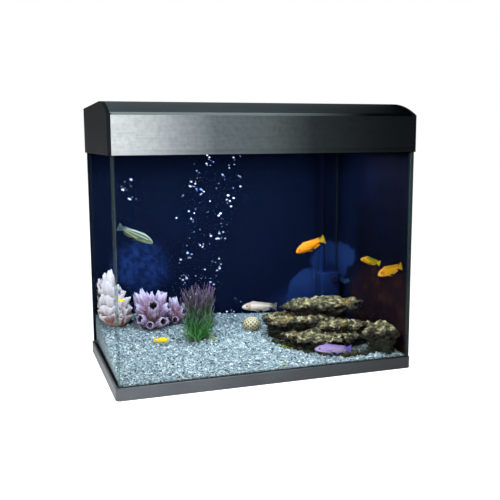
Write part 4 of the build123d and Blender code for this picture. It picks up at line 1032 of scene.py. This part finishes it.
# %% Two clusters
barnacle_cluster("barnacle_cluster_cones", "barnacle_cluster", [
    (150, 26, 0.021, 0.060, 0.006, 0.022), (20, 20, 0.018, 0.056, 0.008, 0.020),
    (265, 34, 0.017, 0.046, 0.010, 0.022), (215, 62, 0.015, 0.032, 0.012, 0.012),
    (300, 72, 0.014, 0.028, 0.013, 0.010), (90, 30, 0.018, 0.058, 0.008, 0.016),
    (190, 55, 0.014, 0.036, 0.012, 0.030), (330, 52, 0.014, 0.036, 0.012, 0.026),
    (250, 78, 0.012, 0.022, 0.014, 0.008), (35, 66, 0.013, 0.030, 0.012, 0.014),
    (120, 66, 0.013, 0.030, 0.012, 0.014), (0, 82, 0.012, 0.022, 0.014, 0.008)], 11)
barnacle_cluster("barnacle_cluster_small_cones", "barnacle_cluster_small", [
    (100, 14, 0.014, 0.044, 0.002, 0.012), (200, 40, 0.011, 0.030, 0.006, 0.010),
    (310, 44, 0.011, 0.030, 0.006, 0.010), (20, 36, 0.011, 0.034, 0.006, 0.010),
    (255, 64, 0.010, 0.020, 0.008, 0.006), (150, 66, 0.010, 0.020, 0.008, 0.006)], 8)

# %% [markdown]
# ## Grass plant
# The soft plant is a bunch of sixteen stems with narrow leaves all the way up: fresh green
# below, dark in the middle, and purple at the tips. Each leaf is one strip of a grid that climbs
# out from its stem, bends and narrows to a point. A mesh value runs from the plant's foot to its
# top, so one ramp colours every leaf, and a second value picks one of two ramps for each.

# %% Plant helper
plant_low, plant_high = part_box("grass_plant")
plant_x, plant_y = (plant_low.x + plant_high.x) / 2, (plant_low.y + plant_high.y) / 2
plant_foot = Vector((plant_x, plant_y, bed_level(plant_x, plant_y) - 0.002))
plant_random = random.Random(12)
leaf_count, stem_count = 760, 16
stem_height, flatness = 0.100, 0.75
stems = [(plant_random.uniform(0, 2 * math.pi), 0.026 * plant_random.random() ** 0.6)
         for _ in range(stem_count)]


def grow_leaf(plant, tips, tones, stem, follows_stem):
    """One leaf from a random height of its stem."""
    strip = bmesh.ops.create_grid(plant, x_segments=1, y_segments=7, size=1.0)["verts"]
    stem_turn, stem_out = stem
    climb = 0.92 * plant_random.random() ** 1.15
    turn = stem_turn + plant_random.gauss(0, 0.9) if follows_stem else plant_random.uniform(0, 2 * math.pi)
    length = plant_random.uniform(0.020, 0.046) * (1.25 - 0.35 * climb)
    steep = plant_random.uniform(0.35, 1.15) + 0.25 * climb
    curl = plant_random.uniform(-0.5, 0.5)
    wide = plant_random.uniform(0.0009, 0.0018)
    tone = plant_random.random()
    start = around(stem_turn, stem_out * (0.72 + 0.50 * climb))
    for point in strip:
        across, up = point.co.x, (point.co.y + 1) / 2
        out = length * math.cos(steep) * up * (1.0 - 0.25 * up)
        side = across * wide * (1 - up) ** 0.5 * (0.7 + 0.5 * up)
        spot = start + around(turn + curl * up, out)
        spot.y *= flatness
        spot.z = climb * stem_height + length * math.sin(steep) * up
        point[tips], point[tones] = 0.42 * up + 0.58 * climb, tone
        point.co = plant_foot + spot + around(turn + math.pi / 2, side)


# %% Plant
plant, plant_tips, plant_tones = with_values("tip", "tone")
for number in range(leaf_count):
    grow_leaf(plant, plant_tips, plant_tones, stems[number % stem_count], number % 3)
bmesh.ops.solidify(plant, geom=plant.faces, thickness=0.0004)
keep_inside(plant, plant_low, plant_high)
blade_skin, blade_tree, blade_shader = new_material("plant_blade", roughness=0.45)
blade_up = mesh_value(blade_tree, "tip")
fresh = ramp(blade_tree, blade_up, [
    (0.0, rgb(28, 56, 20)), (0.14, rgb(60, 150, 54)), (0.36, rgb(40, 96, 46)), (0.60, rgb(20, 34, 24)),
    (0.80, rgb(40, 50, 44)), (0.92, rgb(96, 66, 112)), (1.0, rgb(132, 96, 156))])
pale = ramp(blade_tree, blade_up, [
    (0.0, rgb(56, 84, 40)), (0.2, rgb(104, 176, 96)), (0.45, rgb(84, 120, 84)), (0.68, rgb(112, 80, 124)),
    (0.85, rgb(84, 56, 98)), (1.0, rgb(160, 124, 180))])
pale_kind = between(blade_tree, mesh_value(blade_tree, "tone"), 0.45, 0.75)
paint(blade_tree, blade_shader, mixed(blade_tree, pale_kind, fresh, pale))
relief(blade_tree, blade_shader, cloud(blade_tree, 900.0, 2.0, stretch=(1, 1, 0.2)), 0.3, 0.0002)
make_piece("grass_plant_blades", plant, [blade_skin], ["grass_plant"], outward=False)

# %% [markdown]
# ## Sea urchin shell
# A dead urchin leaves a cream ball, a little flattened and dented on top, with rows of knobs. A
# fine ball gets its knobs by moving points out where two waves, one round it and one up it,
# meet. The same value, stored on the points, darkens each knob.

# %% Urchin shell
urchin_low, urchin_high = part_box("urchin_shell")
urchin_middle = (urchin_low + urchin_high) / 2
urchin_middle.z = bed_level(urchin_middle.x, urchin_middle.y) + 0.0135
urchin_radius, urchin_half_height = 0.0194, 0.0168
urchin, knob_layer = with_values("knob")
bmesh.ops.create_uvsphere(urchin, u_segments=100, v_segments=50, radius=1.0)
for point in urchin.verts:
    d = point.co.normalized()
    angle, climb = math.atan2(d.y, d.x), math.asin(max(-1.0, min(1.0, d.z)))
    knob = max(0.0, math.cos(11 * angle) * math.cos(12 * climb)) * math.cos(climb) ** 0.5
    point[knob_layer] = knob
    swell = 1 + 0.035 * knob - 0.02 * math.cos(5 * angle) * math.cos(climb)
    dent = 0.10 * bulge(d.z, 1, 0.05)
    point.co = urchin_middle + Vector((d.x * urchin_radius * swell, d.y * urchin_radius * swell,
                                       d.z * urchin_half_height * (swell - dent)))
urchin_lime, urchin_tree, urchin_shader = new_material("urchin_lime", roughness=0.6)
urchin_base = mixed(urchin_tree, cloud(urchin_tree, 120.0), rgb(128, 120, 92), rgb(178, 170, 142))
dots = between(urchin_tree, mesh_value(urchin_tree, "knob"), 0.25, 0.5)
paint(urchin_tree, urchin_shader, mixed(urchin_tree, dots, urchin_base, rgb(40, 28, 16)))
relief(urchin_tree, urchin_shader, cloud(urchin_tree, 800.0), 0.4, 0.0003)
make_piece("urchin_shell_ball", urchin, [urchin_lime], ["urchin_shell"])

# %% [markdown]
# ## Fish
# A fish's body is an oval tube that swells behind the head and narrows to the root of the tail.
# Ring after ring is drawn along the body from the mouth; each ring follows the height and width
# of a real cichlid there. The fins are thin fans with rays. Every point knows how far along the
# body it is and how high on it, and those two numbers carry the colouring. A fish is made one
# unit long, along X, and then turned and stretched from its nose to the end of its tail.

# %% Fish shapes
body_plan = [  # share of the length, share of the height, share of the width, lift of the middle
    (0.000, 0.10, 0.14, -0.06), (0.015, 0.26, 0.34, -0.05), (0.05, 0.46, 0.62, -0.03),
    (0.10, 0.66, 0.82, -0.01), (0.17, 0.84, 0.96, 0.01), (0.26, 0.97, 1.00, 0.02), (0.36, 1.00, 0.96, 0.02),
    (0.46, 0.96, 0.86, 0.01), (0.56, 0.84, 0.70, 0.01), (0.65, 0.66, 0.52, 0.01), (0.73, 0.47, 0.34, 0.01),
    (0.79, 0.36, 0.22, 0.01), (0.83, 0.34, 0.14, 0.01), (0.86, 0.36, 0.06, 0.01)]
middle_fins = [  # rays, bend, four corners: along, out, share of the height
    (9, 0.008, [(0.83, 0, 0.17), (0.83, 0, -0.15), (0.985, 0, -0.50), (0.985, 0, 0.52)]),
    (14, 0.004, [(0.22, 0, 0.47), (0.76, 0, 0.20), (0.86, 0, 0.36), (0.28, 0, 0.64)]),
    (7, 0.004, [(0.55, 0, -0.38), (0.75, 0, -0.18), (0.81, 0, -0.34), (0.60, 0, -0.58)]),
    (4, 0.004, [(0.33, 0, -0.42), (0.38, 0, -0.44), (0.52, 0.02, -0.66), (0.46, 0.02, -0.60)])]
side_fin = [  # four corners: along, share of the flank, share of the height
    (0.25, 1, -0.04), (0.26, 1, -0.14), (0.42, 1.9, -0.24), (0.43, 1.8, -0.05)]
eye_balls = [  # share of the width, radius as a share of the height, material: iris, then pupil
    (0.405, 0.125, 1), (0.440, 0.098, 2)]
eye_along, eye_high = 0.115, 0.10
print("a fish has", len(body_plan), "rings and", len(middle_fins) + 2, "fins")

# %% Fish parts
def thin_fan(part, layers, corners, rays, bend):
    """A fin: a grid stretched over four corners, waved along its rays, and given a thin wall."""
    points = bmesh.ops.create_grid(part, x_segments=rays, y_segments=5, size=0.5)["verts"]
    along, high, fin = layers
    a, b, c, d = (Vector(corner) for corner in corners)
    for point in points:
        u, v = point.co.x + 0.5, point.co.y + 0.5
        spot = (a * (1 - u) + b * u) * (1 - v) + (d * (1 - u) + c * u) * v
        spot += ((d + c) / 2 - (a + b) / 2) * 0.035 * math.sin(u * rays * math.pi) * v
        spot.y += bend * math.sin(u * 9 + v * 3) * v
        point.co = spot
        point[along], point[high], point[fin] = spot.x, spot.z, 0.35 + 0.65 * v
    faces = {face for point in points for face in point.link_faces}
    bmesh.ops.solidify(part, geom=list(faces), thickness=0.010)


def fish_tube(part, layers, tall, broad):
    """The body, drawn ring by ring from the mouth to the root of the tail."""
    along, high, fin = layers
    ring = bmesh.ops.create_circle(part, segments=24, radius=1.0)["verts"]
    edges = part.edges[:]
    for point in ring:
        angle = math.atan2(point.co.y, point.co.x)
        point[high], point[fin] = math.sin(angle), math.cos(angle)
    for reach, rise, spread, lift in body_plan:
        if reach:
            ring, edges = grow_ring(part, edges)
        sway = 0.020 * math.sin(reach * 5.0) * reach
        for point in ring:
            point[along] = reach
            point.co = Vector((reach, point[fin] * broad / 2 * spread + sway,
                               (point[high] / 2 * rise + lift) * tall))
    bmesh.ops.holes_fill(part, edges=open_edges(part), sides=0)
    for point in part.verts:
        point[fin] = 0.0


def add_eyes(part, tall, broad):
    """An eye each side: a pale ball, and a dark pupil in front of it."""
    for side in (-1, 1):
        for out, radius, stuff in eye_balls:
            place = Matrix.Translation((eye_along, side * broad * out, eye_high * tall))
            ball = bmesh.ops.create_uvsphere(part, u_segments=14, v_segments=8, radius=radius * tall,
                                             matrix=place @ Matrix.Diagonal((1, 0.40, 1, 1)))
            for face in {face for point in ball["verts"] for face in point.link_faces}:
                face.material_index = stuff


# %% Fish helper
pupil_black, pupil_tree, pupil_shader = new_material("fish_pupil", roughness=0.12)
paint(pupil_tree, pupil_shader, (0.004, 0.004, 0.006, 1.0))


def make_fish(name, node, slot, skin, iris, nose, tail, height, width):
    """A swimming fish from its nose to the end of its tail fin."""
    nose, tail = Vector(nose), Vector(tail)
    axis = tail - nose
    length = axis.length
    across = axis.cross(Vector((0, 0, 1))).normalized()
    upright = across.cross(axis).normalized()
    tall, broad = height / length, width / length
    part, *layers = with_values("along", "high", "fin")
    fish_tube(part, layers, tall, broad)
    for rays, bend, corners in middle_fins:
        thin_fan(part, layers, [(x, y, z * tall) for x, y, z in corners], rays, bend)
    for side in (-1, 1):
        flank = side * broad * 0.46
        thin_fan(part, layers, [(x, y * flank, z * tall) for x, y, z in side_fin], 4, 0.003)
    add_eyes(part, tall, broad)
    turned = Matrix((axis, across * length, upright * length)).transposed().to_4x4()
    bmesh.ops.transform(part, matrix=Matrix.Translation(nose) @ turned, verts=part.verts)
    return make_piece(name, part, [skin, iris, pupil_black], [node] if node else ())


# %% [markdown]
# The skin is darker on the back and paler below. Its tail, its fins and on some fish the cheek
# have tones of their own, and one fish is striped along its length. Over it all lies a pattern
# of cells for the scales, both as a tone and as a fine relief.

# %% Fish colours
fish_tones = {  # back, flank, belly, tail, fins
    "striped": ((34, 46, 46), (62, 76, 58), (104, 112, 48), (30, 42, 54), (40, 54, 62)),
    "orange": ((168, 92, 2), (204, 126, 2), (150, 84, 2), (120, 128, 12), (140, 100, 6)),
    "yellow_small": ((48, 68, 8), (166, 122, 4), (180, 134, 10), (176, 140, 20), (150, 150, 24)),
    "yellow": ((128, 92, 2), (190, 138, 2), (170, 120, 8), (170, 124, 14), (146, 112, 18)),
    "white": ((128, 122, 116), (204, 196, 186), (214, 208, 200), (72, 72, 78), (92, 90, 92)),
    "lilac": ((116, 94, 150), (164, 142, 190), (178, 160, 196), (48, 46, 156), (108, 94, 168)),
    "fry": ((206, 160, 8), (250, 214, 10), (252, 226, 60), (240, 200, 20), (220, 180, 20)),
}
stripe_tones = {"striped": rgb(128, 144, 134)}
cheek_tones = {"yellow_small": rgb(196, 110, 10), "yellow": rgb(172, 84, 10), "white": rgb(150, 112, 104)}
mouth_tone = (0.02, 0.015, 0.01, 1.0)
print("tones for", ", ".join(fish_tones))

# %% Fish skins
def fish_skin(kind):
    """Scaled skin in the tones of one kind of fish."""
    material, tree, shader = new_material("fish_" + kind + "_skin", roughness=0.5, specular=0.15)
    back, flank, belly, tail_tone, fin_tone = (rgb(*tone) for tone in fish_tones[kind])
    along, high, fin = (mesh_value(tree, value) for value in ("along", "high", "fin"))
    tone = ramp(tree, maths(tree, "MULTIPLY_ADD", high, 0.5, 0.5),
                [(0.08, belly), (0.40, flank), (0.66, flank), (0.94, back)])
    if kind in stripe_tones:
        wave = maths(tree, "SINE", times(tree, high, 9.0))
        tone = tinted(tree, tone, between(tree, wave, 0.1, 0.7), 0.75, stripe_tones[kind])
    patch = between(tree, cloud(tree, 160.0, 3.0, 0.6), 0.52, 0.72)
    tone = tinted(tree, tone, patch, 0.35, back)
    if kind in cheek_tones:
        cheek = times(tree, between(tree, along, 0.11, 0.17), between(tree, along, 0.26, 0.19))
        tone = tinted(tree, tone, cheek, 0.8, cheek_tones[kind])
    tone = mixed(tree, between(tree, along, 0.74, 0.90), tone, tail_tone)
    tone = tinted(tree, tone, fin, 0.75, fin_tone)
    tone = tinted(tree, tone, between(tree, along, 0.010, 0.0), 0.6, mouth_tone)
    scales = cells(tree, 900.0)["Distance"]
    paint(tree, shader, tinted(tree, tone, scales, 0.22, back))
    relief(tree, shader, scales, 0.45, 0.0003)
    return material


def iris(name, tone):
    """The pale ring round a pupil."""
    material, tree, shader = new_material(name, roughness=0.25)
    paint(tree, shader, mixed(tree, cloud(tree, 900.0), tone, (0.05, 0.05, 0.05, 1.0)))
    return material


skins = {kind: fish_skin(kind) for kind in fish_tones}
gold_iris, grey_iris = iris("gold_iris", rgb(220, 150, 40)), iris("grey_iris", rgb(150, 150, 146))
print(len(skins), "skins and two irises")

# %% Seven fish and a fry
shoal = [  # kind, slot, iris, nose, end of the tail, height, width
    ("striped", "fish_striped", grey_iris, (-0.192, 0.030, 0.264), (-0.266, 0.030, 0.302), 0.018, 0.010),
    ("orange", "fish_orange", gold_iris, (0.113, -0.020, 0.235), (0.182, -0.020, 0.261), 0.021, 0.011),
    ("yellow_small", "fish_yellow", gold_iris, (0.249, -0.062, 0.219), (0.295, -0.068, 0.206), 0.014, 0.008),
    ("yellow", "fish_yellow", gold_iris, (0.238, -0.161, 0.201), (0.295, -0.161, 0.216), 0.019, 0.010),
    ("white", "fish_white", grey_iris, (0.019, 0.074, 0.100), (0.105, 0.074, 0.094), 0.020, 0.011),
    ("lilac", "fish_lilac", grey_iris, (0.104, -0.146, 0.052), (0.186, -0.150, 0.045), 0.017, 0.009),
    ("fry", "fish_yellow", gold_iris, (-0.172, -0.014, 0.062), (-0.205, -0.014, 0.065), 0.010, 0.006),
]
for kind, slot, eye, *measures in shoal:
    make_fish("fish_" + kind + "_body", "fish_" + kind, slot, skins[kind], eye, *measures)
make_fish("fish_fry_far", None, "fish_yellow", skins["fry"], gold_iris,
          (-0.269, -0.060, 0.164), (-0.284, -0.060, 0.166), 0.005, 0.003)

# %% [markdown]
# ## Bubbles
# Air leaves the stone in a thin swarm that widens as it rises. Each bubble is a ball of only a
# few faces, because there are many; their faces are shaded smooth, and their size, a few
# millimetres at most, hides the rest. Bubbles come in bursts, so a new one mostly stays near the
# last burst. A trace of glow stands for the light that a thin air skin throws back inside the
# water, which a plain clear ball would lose.

# %% Bubbles
bubble_random = random.Random(78)
bubbles = bmesh.new()
new_burst_chance = 0.42
swarms = [  # foot, top, spread, count
    ((-0.1085, 0.09, 0.105), (-0.0830, 0.09, 0.445), 0.011, 50),
    ((-0.0560, 0.09, 0.085), (-0.0300, 0.09, 0.280), 0.014, 38),
    ((-0.0700, 0.09, 0.240), (-0.0600, 0.09, 0.445), 0.018, 26),
    ((-0.0240, 0.09, 0.240), (0.0080, 0.09, 0.445), 0.009, 28),
    ((-0.2345, 0.06, 0.345), (-0.2323, 0.06, 0.440), 0.012, 14),
    ((-0.0200, 0.09, 0.060), (0.0300, 0.09, 0.120), 0.012, 8)]
for foot, top, spread, count in swarms:
    burst = Vector(foot).lerp(Vector(top), 0.5)
    for _ in range(count):
        if bubble_random.random() < new_burst_chance:
            burst = Vector(foot).lerp(Vector(top), bubble_random.random() ** 0.85)
            burst += Vector((bubble_random.gauss(0, spread), bubble_random.gauss(0, 0.012), 0))
        place = burst + Vector([bubble_random.gauss(0, reach) for reach in (0.0055, 0.005, 0.0055)])
        radius = 0.0007 + 0.0020 * bubble_random.random() ** 2.6
        bmesh.ops.create_icosphere(bubbles, subdivisions=1, radius=radius,
                                   matrix=Matrix.Translation(place) @ Matrix.Diagonal((1.25, 1, 0.85, 1)))
bubble_skin, bubble_tree, bubble_shader = new_material("bubble_skin", roughness=0.15)
# Painted reflection: a bubble has no colour of its own, so its pale blue and white flecks stand for light
# thrown back by its skin.
reflection_fleck = between(bubble_tree, cloud(bubble_tree, 120.0, 2.0), 0.35, 0.6)
paint(bubble_tree, bubble_shader, mixed(bubble_tree, reflection_fleck, rgb(70, 96, 190), rgb(220, 230, 252)))
glow(bubble_shader, (0.55, 0.68, 1.0, 1.0), 0.3)
make_piece("air_bubbles", bubbles, [bubble_skin])

# %% [markdown]
# ## Filter sponge and media bag
# The sponge is a block of open foam and the bag is a net of ceramic bits. Both are soft, so new
# pieces stand in for their square CAD solids: the sponge is a bevelled block with slightly
# hollow sides and a porous skin, and the bag is a slack pillow whose face shows the bits inside.

# %% Soft block helper
longest_edge, side_hollow, dimple_depth = 0.006, 0.0012, 0.0016


def soft_block(name, node, bevel, sag, lumps, material):
    """A rounded, slightly slack block in the space of its CAD solid."""
    low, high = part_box(node)
    size, middle = high - low, (low + high) / 2
    block = bmesh.new()
    bmesh.ops.create_cube(block, size=1.0, matrix=Matrix.Translation(middle) @ Matrix.Diagonal((*size, 1.0)))
    bmesh.ops.bevel(block, geom=block.edges[:], affect="EDGES", offset=bevel, segments=3, profile=0.5,
                    material=-1)
    bmesh.ops.triangulate(block, faces=block.faces)
    for _ in range(4):
        long_edges = [edge for edge in block.edges if edge.calc_length() > longest_edge]
        bmesh.ops.subdivide_edges(block, edges=long_edges, cuts=1)
        bmesh.ops.triangulate(block, faces=[face for face in block.faces if len(face.verts) > 3])
    for point in block.verts:
        offset = point.co - middle
        reach = Vector([offset[axis] / (size[axis] / 2) for axis in range(3)])
        crown = (1 - reach.x ** 2) * (1 - reach.y ** 2)
        dimple = noise.noise(point.co * lumps) * 0.5 + 0.5
        if abs(reach.z) > 0.6:
            point.co.z -= math.copysign(sag * (1 - crown) + dimple_depth * dimple, offset.z)
        for axis in (0, 1):
            if abs(reach[axis]) > 0.9:
                point.co[axis] -= math.copysign(side_hollow * (1 - reach.z ** 2), offset[axis])
    keep_inside(block, low, high)
    piece = make_piece(name, block, [material], [node], body="hood")


# %% Filter sponge
foam_blue, foam_tree, foam_shader = new_material("filter_foam", roughness=0.95, specular=0.2)
pores = cells(foam_tree, 520.0)["Distance"]
paint(foam_tree, foam_shader,
      ramp(foam_tree, pores, [(0.0, rgb(8, 24, 66)), (0.35, rgb(26, 72, 150)), (0.9, rgb(84, 132, 204))]))
relief(foam_tree, foam_shader, pores, 1.0, 0.0016)
soft_block("filter_sponge_foam", "filter_sponge", 0.004, 0.0010, 60.0, foam_blue)

# %% Media bag
thread_pitch = 1800.0
net_white, net_tree, net_shader = new_material("media_net", roughness=0.8)
bits = cells(net_tree, 130.0)["Distance"]
waves = [maths(net_tree, "SINE", times(net_tree, axes(net_tree)[axis], thread_pitch)) for axis in ("X", "Y")]
weave = [maths(net_tree, "ABSOLUTE", wave) for wave in waves]
threads = between(net_tree, maths(net_tree, "MINIMUM", *weave), 0.42, 0.22)
bit_tone = ramp(net_tree, bits,
                [(0.0, rgb(224, 214, 190)), (0.6, rgb(170, 156, 128)), (1.0, rgb(60, 54, 44))])
paint(net_tree, net_shader, tinted(net_tree, bit_tone, threads, 0.8, rgb(236, 238, 236)))
relief(net_tree, net_shader, maths(net_tree, "SUBTRACT", threads, times(net_tree, bits, 2.0)), 0.8, 0.001)
soft_block("media_bag_net", "media_bag", 0.006, 0.0050, 130.0, net_white)

# %% [markdown]
# ## Floor and light
# The tank stands on a plain pale floor in front of an even pale surround. One large soft lamp
# stands to the left of the camera, so that the left end of the fascia shines and the right end
# falls off into the dark, as the painted reflection on the fascia does too. A second one hangs
# over the scene. A wide, cool lamp just under the hood stands for what the two tubes and their
# reflector throw down through the water.

# %% Floor
floor_shape = bmesh.new()
bmesh.ops.create_grid(floor_shape, x_segments=8, y_segments=8, size=9.0)
floor_mesh = bpy.data.meshes.new("floor")
floor_shape.to_mesh(floor_mesh)
floor_shape.free()
floor = bpy.data.objects.new("floor", floor_mesh)
bpy.context.scene.collection.objects.link(floor)
floor_finish, floor_tree, floor_shader = new_material("floor_paper", roughness=0.95, specular=0.1)
paint(floor_tree, floor_shader, (0.6, 0.6, 0.6, 1.0))
glow(floor_shader, (1.0, 1.0, 1.0, 1.0), 0.93)
floor_mesh.materials.append(floor_finish)
floor.location.z = -0.0005

# %% Lamps
def soft_lamp(name, place, target, width, height, power, colour=(1.0, 1.0, 1.0)):
    """A rectangular lamp at a place, aimed at a target."""
    data = bpy.data.lights.new(name, "AREA")
    data.shape = "RECTANGLE"
    data.size = width
    data.size_y = height
    data.energy = power
    data.color = colour
    lamp = bpy.data.objects.new(name, data)
    lamp.location = place
    lamp.rotation_mode = "QUATERNION"
    lamp.rotation_quaternion = (Vector(target) - Vector(place)).to_track_quat("-Z", "Y")
    bpy.context.scene.collection.objects.link(lamp)
    print(name, "gives", power, "W")


soft_lamp("key_lamp", (-1.15, -1.25, 0.95), (-0.30, -0.17, 0.40), 0.7, 0.7, 26)
soft_lamp("top_lamp", (0.2, -0.4, 2.4), (0, 0, 0.3), 2.0, 2.0, 30)
soft_lamp("tank_lamp", (0.0, -0.05, 0.4495), (0.0, -0.05, 0.0), 0.55, 0.26, 5.2, (0.86, 0.94, 1.0))

# %% [markdown]
# The surround looks plain white to the camera, but lights the scene with only a fifth of that.
# Otherwise its reflection would wash out the dark water.

# %% Surround
light_given = 0.18
world = bpy.data.worlds.new("surround")
world.use_nodes = True
surround = world.node_tree.nodes["Background"]
surround.inputs["Color"].default_value = (1.0, 1.0, 1.0, 1.0)
seen = world.node_tree.nodes.new("ShaderNodeLightPath").outputs["Is Camera Ray"]
level = maths(world.node_tree, "MULTIPLY_ADD", seen, 1.0 - light_given, light_given)
connect(world.node_tree, surround.inputs["Strength"], level)
bpy.context.scene.world = world
bpy.context.scene.view_settings.view_transform = "Standard"
print("surround gives", light_given, "of the light it shows")
